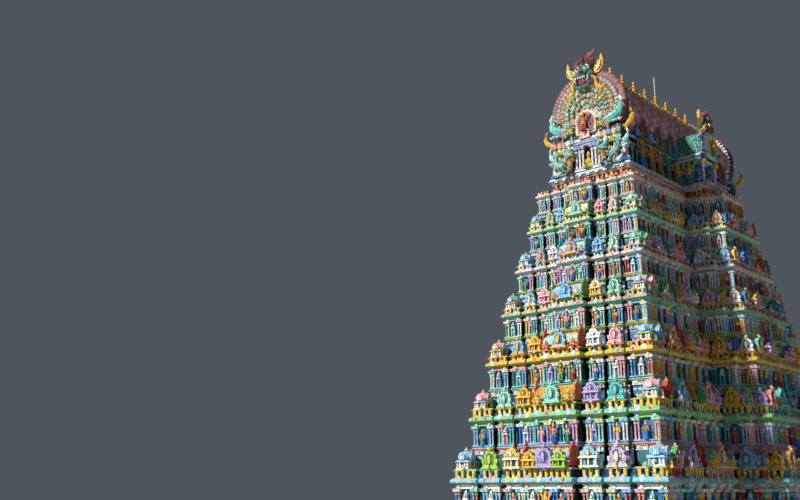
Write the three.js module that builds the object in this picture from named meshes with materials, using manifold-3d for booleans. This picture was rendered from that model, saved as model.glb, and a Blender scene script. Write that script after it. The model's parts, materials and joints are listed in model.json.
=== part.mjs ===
// A nine-storey temple gateway tower (gopuram) at 1:2: painted stucco over a granite gate house.
// Sizes are written in metres of the real tower; METRE turns them into model millimetres.
// Origin: centre of the footprint at ground level. X runs along the broad faces, Y through the gate, Z up.
import * as THREE from "three";
import { mergeVertices } from "three/addons/utils/BufferGeometryUtils.js";
import Module from "manifold-3d";

const wasm = await Module();
wasm.setup();

const SCALE = 1 / 2;
const METRE = 1000 * SCALE;
const SEAT_GAP = 0.001 * METRE;
const CLEARANCE = 0.02 * METRE;

// Storeys. A lip is the outer edge of a storey's cornice; storeys shrink by a fixed ratio from lip to lip.
const STOREYS = 9;
const GATE_LIP = 8.62 * METRE;
const FIRST_STOREY = 4.62 * METRE;
const STOREY_RATIO = 0.928;
const CORNICE_DROP = 0.05;
const CORNICE_RISE = 0.12;
const PARAPET_STRIP = 0.06;
const PARAPET_RISE = 0.32;

// Shrines of the parapet, as shares of the storey height, of the half width or of the flank.
const CORNER_SHRINE = 0.36;
const GABLE_SHRINE = 0.17;
const GABLE_SHARES = [0.39, 0.625];
const BARREL_SHRINE = 0.3;
const PORCH_SHRINE = 0.6;
const CENTRE_SHRINE_RISE = 1.2;
const SHRINE_DEPTH = 0.9 * METRE;
const SHRINE_SINK = 0.02 * METRE;
const KERB_EDGE = 0.1 * METRE;

// Half sizes of the plan at the first and the last storey, with the power that bends the taper.
const HALF_LENGTH = { first: 16.4 * METRE, last: 9.2 * METRE, power: 1.21 };
const HALF_WIDTH = { first: 8.25 * METRE, last: 3.35 * METRE, power: 1.25 };
const PORCH_HALF = { first: 5.95 * METRE, last: 1.54 * METRE, power: 0.55 };
const WALL = { first: 2.2 * METRE, last: 0.9 * METRE, power: 1 };
const DOOR_HALF = { first: 0.75 * METRE, last: 0.45 * METRE, power: 1 };
const LIP_OUT = { first: 0.35 * METRE, last: 0.24 * METRE, power: 1 };
const LIP_FOOT = 0.1;
const LIP_TOP = 0.35;

// Bays of a face, as shares of the half width or of the flank's length, and how far each steps in or out.
const END_CENTRE = 0.24;
const END_SLOT = 0.05;
const END_INNER = 0.5;
const END_CORNER = 0.75;
const FLANK_CORNER = 0.2;
const FLANK_INNER = 0.48;
const FLANK_SLOT = 0.89;
const CENTRE_OUT = 0.45 * METRE;
const SLOT_IN = 0.4 * METRE;
const BAY_STEP = 0.2 * METRE;
const PORCH_OUT = 2.3 * METRE;
const PORCH_STEP_OUT = 1.4 * METRE;
const PORCH_STEP = 0.82;

// Doors of the storeys, as shares of the storey height above the lip below.
const DOOR_FOOT = 0.42;
const DOOR_HEAD = 0.92;

// Gate house.
const GATE_HALF = 2.2 * METRE;
const GATE_HEAD = 6.2 * METRE;
const CEILING = 0.9 * METRE;
const CEILING_SEAT = 0.45 * METRE;
const GATE_WALL = 2.4 * METRE;
const JAMB = 1.7 * METRE;
const CHAMBER_FLOOR = 0.9 * METRE;
const CHAMBER_DOOR = { half: 0.7 * METRE, head: 3.5 * METRE };
const PLINTH = [
  { z: 0, out: 0.5 },
  { z: 0.75, out: 0.5 },
  { z: 0.85, out: 0.3 },
  { z: 1.45, out: 0.42 },
  { z: 1.95, out: 0.12 },
];

// Crown: platform, neck, barrel roof with end gables, cross dormers and finials, as heights above the ground.
const PLATFORM = { half: 8.45 * METRE, width: 2.8 * METRE, porch: 1.15 * METRE, out: 1.9 * METRE };
const PLATFORM_FOOT = 40.9 * METRE;
const PLATFORM_TOP = 41.4 * METRE;
const PLATFORM_LIP = { out: 0.33 * METRE, rise: 0.2 * METRE, edge: 0.2 * METRE };
const KERB_WALL = 0.8 * METRE;
const NECK = { half: 7.8 * METRE, width: 2.2 * METRE, wall: 0.5 * METRE, top: 43.55 * METRE };
const END_PORCH = { half: 1.35 * METRE, out: 0.6 * METRE, lip: 2.6 * METRE, top: 43.9 * METRE };
const EAVE = { out: 0.35 * METRE, depth: 0.3 * METRE };
const NECK_DOOR = { half: 0.5 * METRE, height: 1.5 * METRE, niche: 0.3 * METRE };
const ROOF = {
  half: 7.75 * METRE,
  width: 2.65 * METRE,
  height: 2.85 * METRE,
  centre: 45.15 * METRE,
  shell: 0.35 * METRE,
};
const RIDGE = { half: 0.25 * METRE, foot: 47.85 * METRE, top: 48.15 * METRE };
const GABLE = { thickness: 0.55 * METRE, radius: 2.9 * METRE, centre: 45.6 * METRE };
const GABLE_NICHE = { radius: 0.62 * METRE, foot: 0.5 * METRE, drop: 0.9 * METRE, depth: 0.2 * METRE };
const GABLE_WING = { size: 1.15 * METRE, thickness: 0.35 * METRE, at: 2.25 * METRE };
const MASK = { centre: 48.75 * METRE, radius: 1.45 * METRE };
const MASK_SHAPE = { width: 0.65, depth: 0.6, ear: 0.72, root: 0.35, drop: 0.3, thickness: 0.3 * METRE };
const DORMER = {
  half: 1.15 * METRE,
  front: 4.6 * METRE,
  eave: 43.2 * METRE,
  crown: 45.2 * METRE,
  wall: 0.25 * METRE,
};
const DORMER_VAULT = { wall: 0.5 * METRE, shoulder: 0.2 * METRE, root: 0.5 * METRE };
const DORMER_GABLE = { radius: 1.3 * METRE, centre: 44.15 * METRE, thickness: 0.3 * METRE };
const DORMER_MASK = { centre: 46.1 * METRE, radius: 0.8 * METRE };
const FINIALS = 9;
const FINIAL_SPACING = 1.655 * METRE;
const FINIAL_HEIGHT = 1.9 * METRE;
const ROD = { finial: 5, radius: 0.03 * METRE, top: 51.5 * METRE };

const STONE = new THREE.MeshStandardMaterial({ color: 0x9a9084, roughness: 0.9, metalness: 0 });
const WALL_PAINT = new THREE.MeshStandardMaterial({ color: 0x4fa6a8, roughness: 0.8, metalness: 0 });
const CORNICE_PAINT = new THREE.MeshStandardMaterial({ color: 0xd9a441, roughness: 0.8, metalness: 0 });
const PARAPET_PAINT = new THREE.MeshStandardMaterial({ color: 0x8fb8d8, roughness: 0.8, metalness: 0 });
const ROOF_TILE = new THREE.MeshStandardMaterial({ color: 0x7a4a48, roughness: 0.7, metalness: 0 });
const GABLE_PAINT = new THREE.MeshStandardMaterial({ color: 0xc98d80, roughness: 0.8, metalness: 0 });
const DORMER_PAINT = new THREE.MeshStandardMaterial({ color: 0x3f8a63, roughness: 0.7, metalness: 0 });
const BRASS = new THREE.MeshStandardMaterial({ color: 0xd09a3a, roughness: 0.35, metalness: 0.9 });

const tower = new THREE.Group();

// Closed three.js geometry as a solid for joining and cutting.
function solid(geometry) {
  const bare = geometry.index ? geometry.toNonIndexed() : geometry.clone();
  bare.deleteAttribute("normal");
  bare.deleteAttribute("uv");
  const merged = mergeVertices(bare, 1e-3);
  return new wasm.Manifold(
    new wasm.Mesh({
      numProp: 3,
      vertProperties: merged.attributes.position.array,
      triVerts: new Uint32Array(merged.index.array),
    }),
  );
}

function addPiece(name, piece, material) {
  const made = piece.getMesh();
  const geometry = new THREE.BufferGeometry();
  geometry.setAttribute("position", new THREE.BufferAttribute(made.vertProperties, 3));
  geometry.setIndex(new THREE.BufferAttribute(made.triVerts, 1));
  geometry.computeVertexNormals();
  const mesh = new THREE.Mesh(geometry, material);
  mesh.name = name;
  tower.add(mesh);
}

function box(x0, x1, y0, y1, z0, z1) {
  const geometry = new THREE.BoxGeometry(x1 - x0, y1 - y0, z1 - z0);
  geometry.translate((x0 + x1) / 2, (y0 + y1) / 2, (z0 + z1) / 2);
  return solid(geometry);
}

const join = (pieces) => pieces.reduce((all, piece) => all.add(piece));

const taper = (size, storey) =>
  size.last + (size.first - size.last) * ((STOREYS - storey) / (STOREYS - 1)) ** size.power;

// The storeys' lips, from the gate house (0) to the top storey.
const storeyHeight = (storey) => FIRST_STOREY * STOREY_RATIO ** (storey - 1);
const lips = [GATE_LIP];
for (let storey = 1; storey <= STOREYS; storey++) {
  lips.push(lips[storey - 1] + storeyHeight(storey));
}

function planOf(storey) {
  const length = taper(HALF_LENGTH, storey);
  const width = taper(HALF_WIDTH, storey);
  const porch = taper(PORCH_HALF, storey);
  return { length, width, porch, flank: length - porch };
}

// The stepped corner of the porch, the part of a broad face that stands forward round the door.
const porchCorner = ({ width, porch }) => [
  [porch, width + PORCH_STEP_OUT],
  [porch * PORCH_STEP, width + PORCH_STEP_OUT],
  [porch * PORCH_STEP, width + PORCH_OUT],
];

// One quarter of the plan's outline, from the middle of an end face round the corner to a broad face's porch.
function quarter(plan, slots) {
  const { length, width, porch, flank } = plan;
  const slotEnd = width * (END_CENTRE + END_SLOT);
  const points = [[length + CENTRE_OUT, width * END_CENTRE]];
  if (slots) {
    points.push([length - SLOT_IN, width * END_CENTRE], [length - SLOT_IN, slotEnd], [length, slotEnd]);
  } else {
    points.push([length, width * END_CENTRE]);
  }
  points.push([length, width * END_INNER], [length - BAY_STEP, width * END_INNER]);
  points.push([length - BAY_STEP, width * END_CORNER], [length, width * END_CORNER], [length, width]);
  const corner = length - flank * FLANK_CORNER;
  const inner = length - flank * FLANK_INNER;
  points.push([corner, width], [corner, width - BAY_STEP], [inner, width - BAY_STEP], [inner, width]);
  if (slots) {
    const slot = length - flank * FLANK_SLOT;
    points.push([slot, width], [slot, width - SLOT_IN], [porch, width - SLOT_IN]);
  } else {
    points.push([porch, width]);
  }
  return [...points, ...porchCorner(plan)];
}

// A quarter mirrored into the whole outline, counter-clockwise.
function mirrored(points) {
  const back = [...points].reverse();
  return [
    ...points,
    ...back.map(([x, y]) => [-x, y]),
    ...points.map(([x, y]) => [-x, -y]),
    ...back.map(([x, y]) => [x, -y]),
  ];
}

// An outline with square corners, moved outwards by a distance.
function grown(outline, distance) {
  const count = outline.length;
  return outline.map(([x, y], i) => {
    const [px, py] = outline[(i + count - 1) % count];
    const [nx, ny] = outline[(i + 1) % count];
    const normals = [Math.sign(y - py) + Math.sign(ny - y), Math.sign(px - x) + Math.sign(x - nx)];
    return [x + distance * normals[0], y + distance * normals[1]];
  });
}

// A solid whose section is one outline at each level, joined by straight sides.
function loft(levels) {
  const count = levels[0].outline.length;
  const positions = levels.flatMap(({ z, outline }) => outline.flatMap(([x, y]) => [x, y, z]));
  const indices = [];
  for (let level = 0; level < levels.length - 1; level++) {
    for (let i = 0; i < count; i++) {
      const a = level * count + i;
      const b = level * count + ((i + 1) % count);
      indices.push(a, b, b + count, a, b + count, a + count);
    }
  }
  const cap = (level, flip) => {
    const contour = levels[level].outline.map(([x, y]) => new THREE.Vector2(x, y));
    for (const [a, b, c] of THREE.ShapeUtils.triangulateShape(contour, [])) {
      const face = flip ? [a, c, b] : [a, b, c];
      indices.push(...face.map((v) => v + level * count));
    }
  };
  cap(0, true);
  cap(levels.length - 1, false);
  const geometry = new THREE.BufferGeometry();
  geometry.setAttribute("position", new THREE.Float32BufferAttribute(positions, 3));
  geometry.setIndex(indices);
  return solid(geometry);
}

const prism = (outline, z0, z1) => loft([{ z: z0, outline }, { z: z1, outline }]);

// A flat figure in X and Z, given a thickness along Y that is centred on zero.
function plate(shape, thickness, segments = 8) {
  const geometry = new THREE.ExtrudeGeometry(shape, {
    depth: thickness,
    bevelEnabled: false,
    curveSegments: segments,
  });
  geometry.translate(0, 0, -thickness / 2);
  geometry.rotateX(Math.PI / 2);
  return solid(geometry);
}

// The facing of a piece: 0 looks along -Y, and each quarter turn moves it on towards +X.
const turned = (piece, quarters) => piece.rotate([0, 0, 90 * quarters]);

// A small gable shrine that faces -Y, with its foot at the origin.
function gableShrine(width, depth, height) {
  const shape = new THREE.Shape([
    new THREE.Vector2(-0.42 * width, 0),
    new THREE.Vector2(0.42 * width, 0),
    new THREE.Vector2(0.5 * width, 0.6 * height),
    new THREE.Vector2(0, height),
    new THREE.Vector2(-0.5 * width, 0.6 * height),
  ]);
  return plate(shape, depth);
}

// A square shrine whose dome swells and closes.
function domedShrine(width, height) {
  const square = (half) => [
    [half, -half],
    [half, half],
    [-half, half],
    [-half, -half],
  ];
  return loft([
    { z: 0, outline: square(0.42 * width) },
    { z: 0.6 * height, outline: square(0.5 * width) },
    { z: height, outline: square(0.12 * width) },
  ]);
}

// A barrel-roofed shrine that lies along X.
const barrelShrine = (length, depth, height) => turned(gableShrine(depth, length, height), 1);

function storeyWall(storey) {
  const plan = planOf(storey);
  const height = storeyHeight(storey);
  const below = storey === 1 ? storeyHeight(1) : storeyHeight(storey - 1);
  const foot = lips[storey - 1] + CORNICE_RISE * below;
  const head = lips[storey] - CORNICE_DROP * height;
  const thickness = taper(WALL, storey);
  const roomLength = plan.length - thickness;
  const roomWidth = plan.width - thickness;
  const door = taper(DOOR_HALF, storey);
  const reach = plan.width + PORCH_OUT + METRE;
  const doorFoot = lips[storey - 1] + DOOR_FOOT * height;
  const doorHead = lips[storey - 1] + DOOR_HEAD * height;
  return prism(mirrored(quarter(plan, true)), foot, head)
    .subtract(box(-roomLength, roomLength, -roomWidth, roomWidth, foot - METRE, head + METRE))
    .subtract(box(-door, door, -reach, reach, doorFoot, doorHead));
}

// The outline without the small steps between bays, which the cornices and kerbs run past.
function plainQuarter(plan) {
  const { length, width, porch } = plan;
  return [
    [length + CENTRE_OUT, width * END_CENTRE],
    [length, width * END_CENTRE],
    [length, width],
    [porch, width],
    ...porchCorner(plan),
  ];
}

// The cornice of a storey is one slab with the floor above it. Storey 0 is the gate house.
function storeyCornice(storey) {
  const height = storeyHeight(Math.max(storey, 1));
  const outline = mirrored(plainQuarter(planOf(storey)));
  const lipOut = taper(LIP_OUT, storey);
  const foot = storey === 0 ? GATE_HEAD + CEILING : lips[storey] - CORNICE_DROP * height;
  return loft([
    { z: foot, outline: grown(outline, LIP_FOOT * lipOut) },
    { z: lips[storey], outline: grown(outline, lipOut) },
    { z: lips[storey] + CORNICE_RISE * height, outline: grown(outline, LIP_TOP * lipOut) },
  ]);
}

// The parapet on a storey's cornice: a kerb round the next storey, with a row of small shrines on it.
function storeyParapet(storey) {
  const plan = planOf(storey);
  const next = planOf(storey + 1);
  const height = storeyHeight(Math.max(storey, 1));
  const foot = lips[storey] + CORNICE_RISE * height;
  const kerbTop = foot + PARAPET_STRIP * height;
  const seat = kerbTop - SHRINE_SINK;
  const rise = PARAPET_RISE * height - PARAPET_STRIP * height;
  const endFace = plan.length + KERB_EDGE;
  const sideFace = plan.width + KERB_EDGE;
  const endDepth = Math.min(plan.length - next.length + KERB_EDGE - CLEARANCE, SHRINE_DEPTH);
  const sideDepth = Math.min(plan.width - next.width + KERB_EDGE - CLEARANCE, SHRINE_DEPTH);
  const corner = Math.min(CORNER_SHRINE * height, endDepth);
  const gable = GABLE_SHRINE * plan.width;
  const barrel = BARREL_SHRINE * plan.flank;
  const barrelAt = plan.length - plan.flank * ((FLANK_INNER + FLANK_SLOT) / 2);
  const hollow = grown(mirrored(plainQuarter(next)), CLEARANCE);
  const kerb = prism(grown(mirrored(plainQuarter(plan)), KERB_EDGE), foot, kerbTop);
  const pieces = [kerb.subtract(prism(hollow, foot - METRE, kerbTop + METRE))];
  for (const end of [1, -1]) {
    for (const side of [1, -1]) {
      const dome = domedShrine(corner, rise);
      pieces.push(dome.translate([end * (endFace - corner / 2), side * (sideFace - corner / 2), seat]));
      for (const share of GABLE_SHARES) {
        const shrine = turned(gableShrine(gable, endDepth, rise), end);
        pieces.push(shrine.translate([end * (endFace - endDepth / 2), side * share * plan.width, seat]));
      }
      const flank = barrelShrine(barrel, sideDepth, rise);
      pieces.push(flank.translate([end * barrelAt, side * (sideFace - sideDepth / 2), seat]));
      const porch = gableShrine(gable, sideDepth, rise);
      const porchFace = sideFace + PORCH_OUT - sideDepth / 2;
      pieces.push(porch.translate([end * PORCH_SHRINE * plan.porch, side * porchFace, seat]));
    }
    const broad = barrelShrine(2 * END_CENTRE * plan.width, endDepth, rise * CENTRE_SHRINE_RISE);
    const centre = turned(broad, end);
    pieces.push(centre.translate([end * (endFace + CENTRE_OUT - endDepth / 2), 0, seat]));
  }
  return join(pieces);
}

// Half of the granite gate house, east (1) or west (-1) of the passage.
function gateHalf(side) {
  const plan = planOf(0);
  const outline = mirrored(quarter(plan, false));
  const top = GATE_HEAD + CEILING;
  const mass = loft([
    ...PLINTH.map(({ z, out }) => ({ z: z * METRE, outline: grown(outline, out * METRE) })),
    { z: (PLINTH.at(-1).z + 0.1) * METRE, outline },
    { z: top, outline },
  ]);
  const far = plan.length + METRE;
  const wide = plan.width + PORCH_OUT + METRE;
  const near = side * GATE_HALF;
  const [x0, x1] = side > 0 ? [near, far] : [-far, near];
  const seat = side * (GATE_HALF + CEILING_SEAT);
  const [s0, s1] = side > 0 ? [0, seat] : [seat, 0];
  const chamber = [side * (GATE_HALF + JAMB), side * (plan.length - GATE_WALL)].sort((a, b) => a - b);
  const chamberWidth = plan.width - GATE_WALL;
  const doorway = [side * (GATE_HALF - METRE), side * (GATE_HALF + JAMB + METRE)].sort((a, b) => a - b);
  return mass
    .intersect(box(x0, x1, -wide, wide, -METRE, top + METRE))
    .subtract(box(s0, s1, -wide, wide, GATE_HEAD, top + METRE))
    .subtract(box(...chamber, -chamberWidth, chamberWidth, CHAMBER_FLOOR, top + METRE))
    .subtract(box(...doorway, -CHAMBER_DOOR.half, CHAMBER_DOOR.half, CHAMBER_FLOOR, CHAMBER_DOOR.head));
}

// Stone beams over the passage, seated on ledges in both halves.
function gateCeiling() {
  const plan = planOf(0);
  const half = GATE_HALF + CEILING_SEAT - SEAT_GAP;
  const reach = plan.width + PORCH_OUT - CLEARANCE;
  return box(-half, half, -reach, reach, GATE_HEAD, GATE_HEAD + CEILING);
}

const crownOutline = (grow) =>
  grown(
    mirrored([
      [PLATFORM.half, PLATFORM.width],
      [PLATFORM.porch, PLATFORM.width],
      [PLATFORM.porch, PLATFORM.width + PLATFORM.out],
    ]),
    grow,
  );

// The low wall on the top storey's cornice that carries the crown's platform.
function crownKerb() {
  const foot = lips[STOREYS] + CORNICE_RISE * storeyHeight(STOREYS);
  const length = PLATFORM.half - KERB_WALL;
  const width = PLATFORM.width - KERB_WALL;
  return prism(crownOutline(0), foot, PLATFORM_FOOT).subtract(
    box(-length, length, -width, width, 0, 2 * PLATFORM_TOP),
  );
}

const crownPlatform = () =>
  loft([
    { z: PLATFORM_FOOT, outline: crownOutline(0) },
    { z: PLATFORM_FOOT + PLATFORM_LIP.rise, outline: crownOutline(PLATFORM_LIP.out) },
    { z: PLATFORM_TOP, outline: crownOutline(PLATFORM_LIP.edge) },
  ]);

// The barrel roof's section as a closed outline, its inner one when it is inset.
function roofShape(inset) {
  const shape = new THREE.Shape();
  const width = ROOF.width - inset;
  const height = ROOF.height - inset;
  const foot = NECK.top;
  const springing = Math.asin((foot - ROOF.centre) / height);
  shape.moveTo(width * Math.cos(springing), foot);
  shape.absellipse(0, ROOF.centre, width, height, springing, Math.PI - springing, false);
  shape.lineTo(-width * Math.cos(springing), foot);
  shape.closePath();
  return shape;
}

function barrel(inset, half, segments = 14) {
  return turned(plate(roofShape(inset), 2 * half, segments), 1);
}

function neck() {
  const outline = mirrored([
    [NECK.half + END_PORCH.out, END_PORCH.half],
    [NECK.half, END_PORCH.half],
    [NECK.half, NECK.width],
  ]);
  const body = prism(outline, PLATFORM_TOP, NECK.top);
  const seatFoot = NECK.top - EAVE.depth;
  const seatEnd = NECK.half + END_PORCH.out + EAVE.out;
  const eastSeat = box(NECK.half, seatEnd, -END_PORCH.lip, END_PORCH.lip, seatFoot, END_PORCH.top);
  const westSeat = box(-seatEnd, -NECK.half, -END_PORCH.lip, END_PORCH.lip, seatFoot, END_PORCH.top);
  const eave = box(
    -NECK.half,
    NECK.half,
    -NECK.width - EAVE.out,
    NECK.width + EAVE.out,
    NECK.top - EAVE.depth,
    NECK.top,
  );
  const inner = NECK.half - NECK.wall;
  const innerWidth = NECK.width - NECK.wall;
  const porchCut = DORMER.half + CLEARANCE;
  const door = NECK_DOOR.half;
  const doorHead = PLATFORM_TOP + NECK_DOOR.height;
  const nicheBack = NECK.half + NECK_DOOR.niche;
  return join([body, eave, eastSeat, westSeat])
    .subtract(box(-inner, inner, -innerWidth, innerWidth, 0, 2 * NECK.top))
    .subtract(box(-door, door, -2 * NECK.width, 2 * NECK.width, 0, doorHead))
    .subtract(box(-porchCut, porchCut, NECK.width, 2 * NECK.width, 0, 2 * NECK.top))
    .subtract(box(-porchCut, porchCut, -2 * NECK.width, -NECK.width, 0, 2 * NECK.top))
    .subtract(box(nicheBack, 2 * NECK.half, -door, door, 0, doorHead))
    .subtract(box(-2 * NECK.half, -nicheBack, -door, door, 0, doorHead));
}

function roof() {
  const ridge = box(-ROOF.half, ROOF.half, -RIDGE.half, RIDGE.half, RIDGE.foot, RIDGE.top);
  return barrel(0, ROOF.half).add(ridge).subtract(barrel(ROOF.shell, 2 * ROOF.half));
}

// A crescent horn in X and Z that curls up from its root.
function horn(size, thickness) {
  const shape = new THREE.Shape();
  shape.moveTo(0, 0);
  shape.quadraticCurveTo(0.75 * size, 0.05 * size, 0.8 * size, size);
  shape.quadraticCurveTo(0.35 * size, 0.45 * size, 0, 0.4 * size);
  shape.closePath();
  return plate(shape, thickness, 5);
}

// A lion mask with two horns, facing -Y, centred on the origin.
function mask(radius, thickness) {
  const head = new THREE.SphereGeometry(radius, 8, 6);
  head.scale(MASK_SHAPE.width, MASK_SHAPE.depth, 1);
  const ear = horn(MASK_SHAPE.ear * radius, thickness);
  const root = [MASK_SHAPE.root * radius, 0, -MASK_SHAPE.drop * radius];
  return join([solid(head), ear.translate(root), ear.translate(root).mirror([1, 0, 0])]);
}

// A horseshoe gable facing -Y, with its axis through the origin.
function horseshoe(radius, thickness, foot, segments) {
  const shape = new THREE.Shape();
  const opening = Math.asin(foot / radius);
  shape.absarc(0, 0, radius, -opening, Math.PI + opening, false);
  shape.closePath();
  return plate(shape, thickness, segments);
}

// The lion mask leans back over the ridge; everything else stays in front of the roof's end.
function gable(end) {
  const foot = GABLE.centre - END_PORCH.top;
  const disc = horseshoe(GABLE.radius, GABLE.thickness, foot, 18);
  const niche = horseshoe(GABLE_NICHE.radius, GABLE.thickness, GABLE_NICHE.foot, 8).translate([
    0,
    -GABLE_NICHE.depth - GABLE.thickness / 2,
    -GABLE_NICHE.drop,
  ]);
  const wing = horn(GABLE_WING.size, GABLE_WING.thickness).translate([GABLE_WING.at, 0, -foot]);
  const behind = 2 * GABLE.radius;
  const overRidge = RIDGE.top + CLEARANCE - GABLE.centre;
  const back = box(-behind, behind, GABLE.thickness / 2, behind, -behind, overRidge);
  const face = join([
    disc.subtract(niche),
    mask(MASK.radius, MASK_SHAPE.thickness).translate([0, 0, MASK.centre - GABLE.centre]),
    wing,
    wing.mirror([1, 0, 0]),
  ]).subtract(back);
  const at = ROOF.half + SEAT_GAP + GABLE.thickness / 2;
  return turned(face, end).translate([end * at, 0, GABLE.centre]);
}

// A cross dormer with an open porch below, on the front (-1) or the back (1).
function dormer(side) {
  const back = NECK.width + SEAT_GAP;
  const deep = DORMER.front - DORMER_GABLE.thickness;
  const vault = new THREE.Shape();
  vault.moveTo(-DORMER.half, DORMER.eave);
  vault.lineTo(DORMER.half, DORMER.eave);
  const springing = DORMER.eave + DORMER_VAULT.wall;
  const shoulder = DORMER.crown - DORMER_VAULT.shoulder;
  vault.lineTo(DORMER.half, springing);
  vault.quadraticCurveTo(DORMER.half, shoulder, 0, DORMER.crown);
  vault.quadraticCurveTo(-DORMER.half, shoulder, -DORMER.half, springing);
  vault.closePath();
  const length = deep - DORMER_VAULT.root;
  const roofPart = plate(vault, length, 5).translate([0, -(DORMER_VAULT.root + length / 2), 0]);
  const jamb = (x) =>
    box(x - DORMER.wall, x + DORMER.wall, -deep, -back, PLATFORM_TOP, DORMER.eave);
  const face = join([
    roofPart.subtract(barrel(-2 * SEAT_GAP, 2 * ROOF.half)).subtract(
      box(-2 * DORMER.half, 2 * DORMER.half, -back, 0, 0, NECK.top + SEAT_GAP),
    ),
    jamb(DORMER.half - DORMER.wall),
    jamb(DORMER.wall - DORMER.half),
    horseshoe(DORMER_GABLE.radius, DORMER_GABLE.thickness, DORMER_GABLE.centre - DORMER.eave, 12).translate([
      0,
      CLEARANCE - deep - DORMER_GABLE.thickness / 2,
      DORMER_GABLE.centre,
    ]),
    mask(DORMER_MASK.radius, MASK_SHAPE.thickness).translate([0, -deep, DORMER_MASK.centre]),
  ]);
  return turned(face, side > 0 ? 2 : 0);
}

// Brass pot finial: foot, belly, neck, ring and spike, as shares of its height.
const FINIAL_PROFILE = [
  [0, 0],
  [0.15, 0],
  [0.15, 0.1],
  [0.07, 0.24],
  [0.13, 0.36],
  [0.07, 0.5],
  [0.1, 0.62],
  [0.04, 0.76],
  [0, 1],
];
const FINIAL_SIDES = 6;

function finial(x) {
  const profile = FINIAL_PROFILE.map(([r, z]) => new THREE.Vector2(r * FINIAL_HEIGHT, z * FINIAL_HEIGHT));
  const geometry = new THREE.LatheGeometry(profile, FINIAL_SIDES);
  geometry.rotateX(Math.PI / 2);
  return solid(geometry).translate([x, 0, RIDGE.top]);
}

// A thin rod that stands on one finial's tip.
function lightningRod(x) {
  const foot = RIDGE.top + FINIAL_HEIGHT;
  const rod = new THREE.CylinderGeometry(ROD.radius, ROD.radius, ROD.top - foot, 6);
  rod.rotateX(Math.PI / 2);
  rod.translate(x, 0, (ROD.top + foot) / 2);
  return solid(rod);
}

addPiece("gate_house_west", gateHalf(-1), STONE);
addPiece("gate_house_east", gateHalf(1), STONE);
addPiece("gate_ceiling", gateCeiling(), STONE);
addPiece("gate_cornice", storeyCornice(0), STONE);
addPiece("gate_parapet", storeyParapet(0), PARAPET_PAINT);
for (let storey = 1; storey <= STOREYS; storey++) {
  addPiece(`storey_${storey}_wall`, storeyWall(storey), WALL_PAINT);
  addPiece(`storey_${storey}_cornice`, storeyCornice(storey), CORNICE_PAINT);
  if (storey < STOREYS) {
    addPiece(`storey_${storey}_parapet`, storeyParapet(storey), PARAPET_PAINT);
  }
}
addPiece("crown_kerb", crownKerb(), PARAPET_PAINT);
addPiece("crown_platform", crownPlatform(), CORNICE_PAINT);
addPiece("crown_neck", neck(), WALL_PAINT);
addPiece("crown_roof", roof(), ROOF_TILE);
addPiece("gable_west", gable(-1), GABLE_PAINT);
addPiece("gable_east", gable(1), GABLE_PAINT);
addPiece("dormer_front", dormer(-1), DORMER_PAINT);
addPiece("dormer_back", dormer(1), DORMER_PAINT);
for (let i = 0; i < FINIALS; i++) {
  const x = (i - (FINIALS - 1) / 2) * FINIAL_SPACING;
  addPiece(`finial_${i + 1}`, finial(x), BRASS);
  if (i === ROD.finial) {
    addPiece("lightning_rod", lightningRod(x), BRASS);
  }
}

export default tower;
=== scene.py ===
# %% [markdown]
# # A painted temple gateway tower
#
# The real object is a gopuram: a granite gate house with nine storeys of brick above it, all covered
# with stucco figures, little shrines and mouldings in bright paint. The CAD model gives the solid
# masonry. This lesson dresses it. Lengths are written in metres of the real tower and halved on the
# way into Blender, because the model is at 1:2.

# %% Load the fixed frame
import json
import math
import random

import bpy
from mathutils import Matrix, Vector

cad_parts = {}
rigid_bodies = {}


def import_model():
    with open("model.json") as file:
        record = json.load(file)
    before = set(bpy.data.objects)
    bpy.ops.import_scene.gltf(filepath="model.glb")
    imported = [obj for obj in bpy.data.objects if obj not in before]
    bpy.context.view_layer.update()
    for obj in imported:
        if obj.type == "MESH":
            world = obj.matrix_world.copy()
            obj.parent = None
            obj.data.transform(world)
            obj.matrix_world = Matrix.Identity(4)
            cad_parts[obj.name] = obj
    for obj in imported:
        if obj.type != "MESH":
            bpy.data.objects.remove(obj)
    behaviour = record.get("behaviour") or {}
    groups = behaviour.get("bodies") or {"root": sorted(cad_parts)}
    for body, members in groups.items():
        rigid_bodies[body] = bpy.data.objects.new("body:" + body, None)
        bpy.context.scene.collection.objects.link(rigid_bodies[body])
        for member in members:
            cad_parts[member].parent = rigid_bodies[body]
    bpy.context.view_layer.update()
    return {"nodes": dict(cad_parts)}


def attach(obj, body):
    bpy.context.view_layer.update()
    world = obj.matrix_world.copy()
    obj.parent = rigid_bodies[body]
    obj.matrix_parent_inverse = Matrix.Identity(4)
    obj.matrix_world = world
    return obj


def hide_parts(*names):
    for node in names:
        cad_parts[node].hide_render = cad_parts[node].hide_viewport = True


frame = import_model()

SCALE = 0.5
STOREYS = 9
BOTH = (-1, 1)
scene = bpy.context.scene
print("CAD nodes:", len(frame["nodes"]))

# %% [markdown]
# ## The plan, worked out again
#
# Every storey has the same plan at another size, and the sizes follow a bent taper. The lesson repeats
# the few driving dimensions of the masonry instead of measuring each wall, so that a column or a shrine
# can be placed by its bay.

# %% Driving dimensions of the masonry, in real metres
GATE_LIP, GATE_HALF, GATE_HEAD = 8.62, 2.2, 6.2
FIRST_STOREY, STOREY_RATIO = 4.62, 0.928
# At the gate house's storey and the ninth, and the power that bends the taper between them.
HALF_LENGTH, HALF_WIDTH, PORCH_HALF = (16.4, 9.2, 1.21), (8.25, 3.35, 1.25), (5.95, 1.54, 0.55)
DOOR_HALF, LIP_OUT = (0.75, 0.45, 1.0), (0.35, 0.24, 1.0)
CENTRE_OUT, PORCH_OUT, PORCH_STEP_OUT, PORCH_STEP = 0.45, 2.3, 1.4, 0.82
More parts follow.
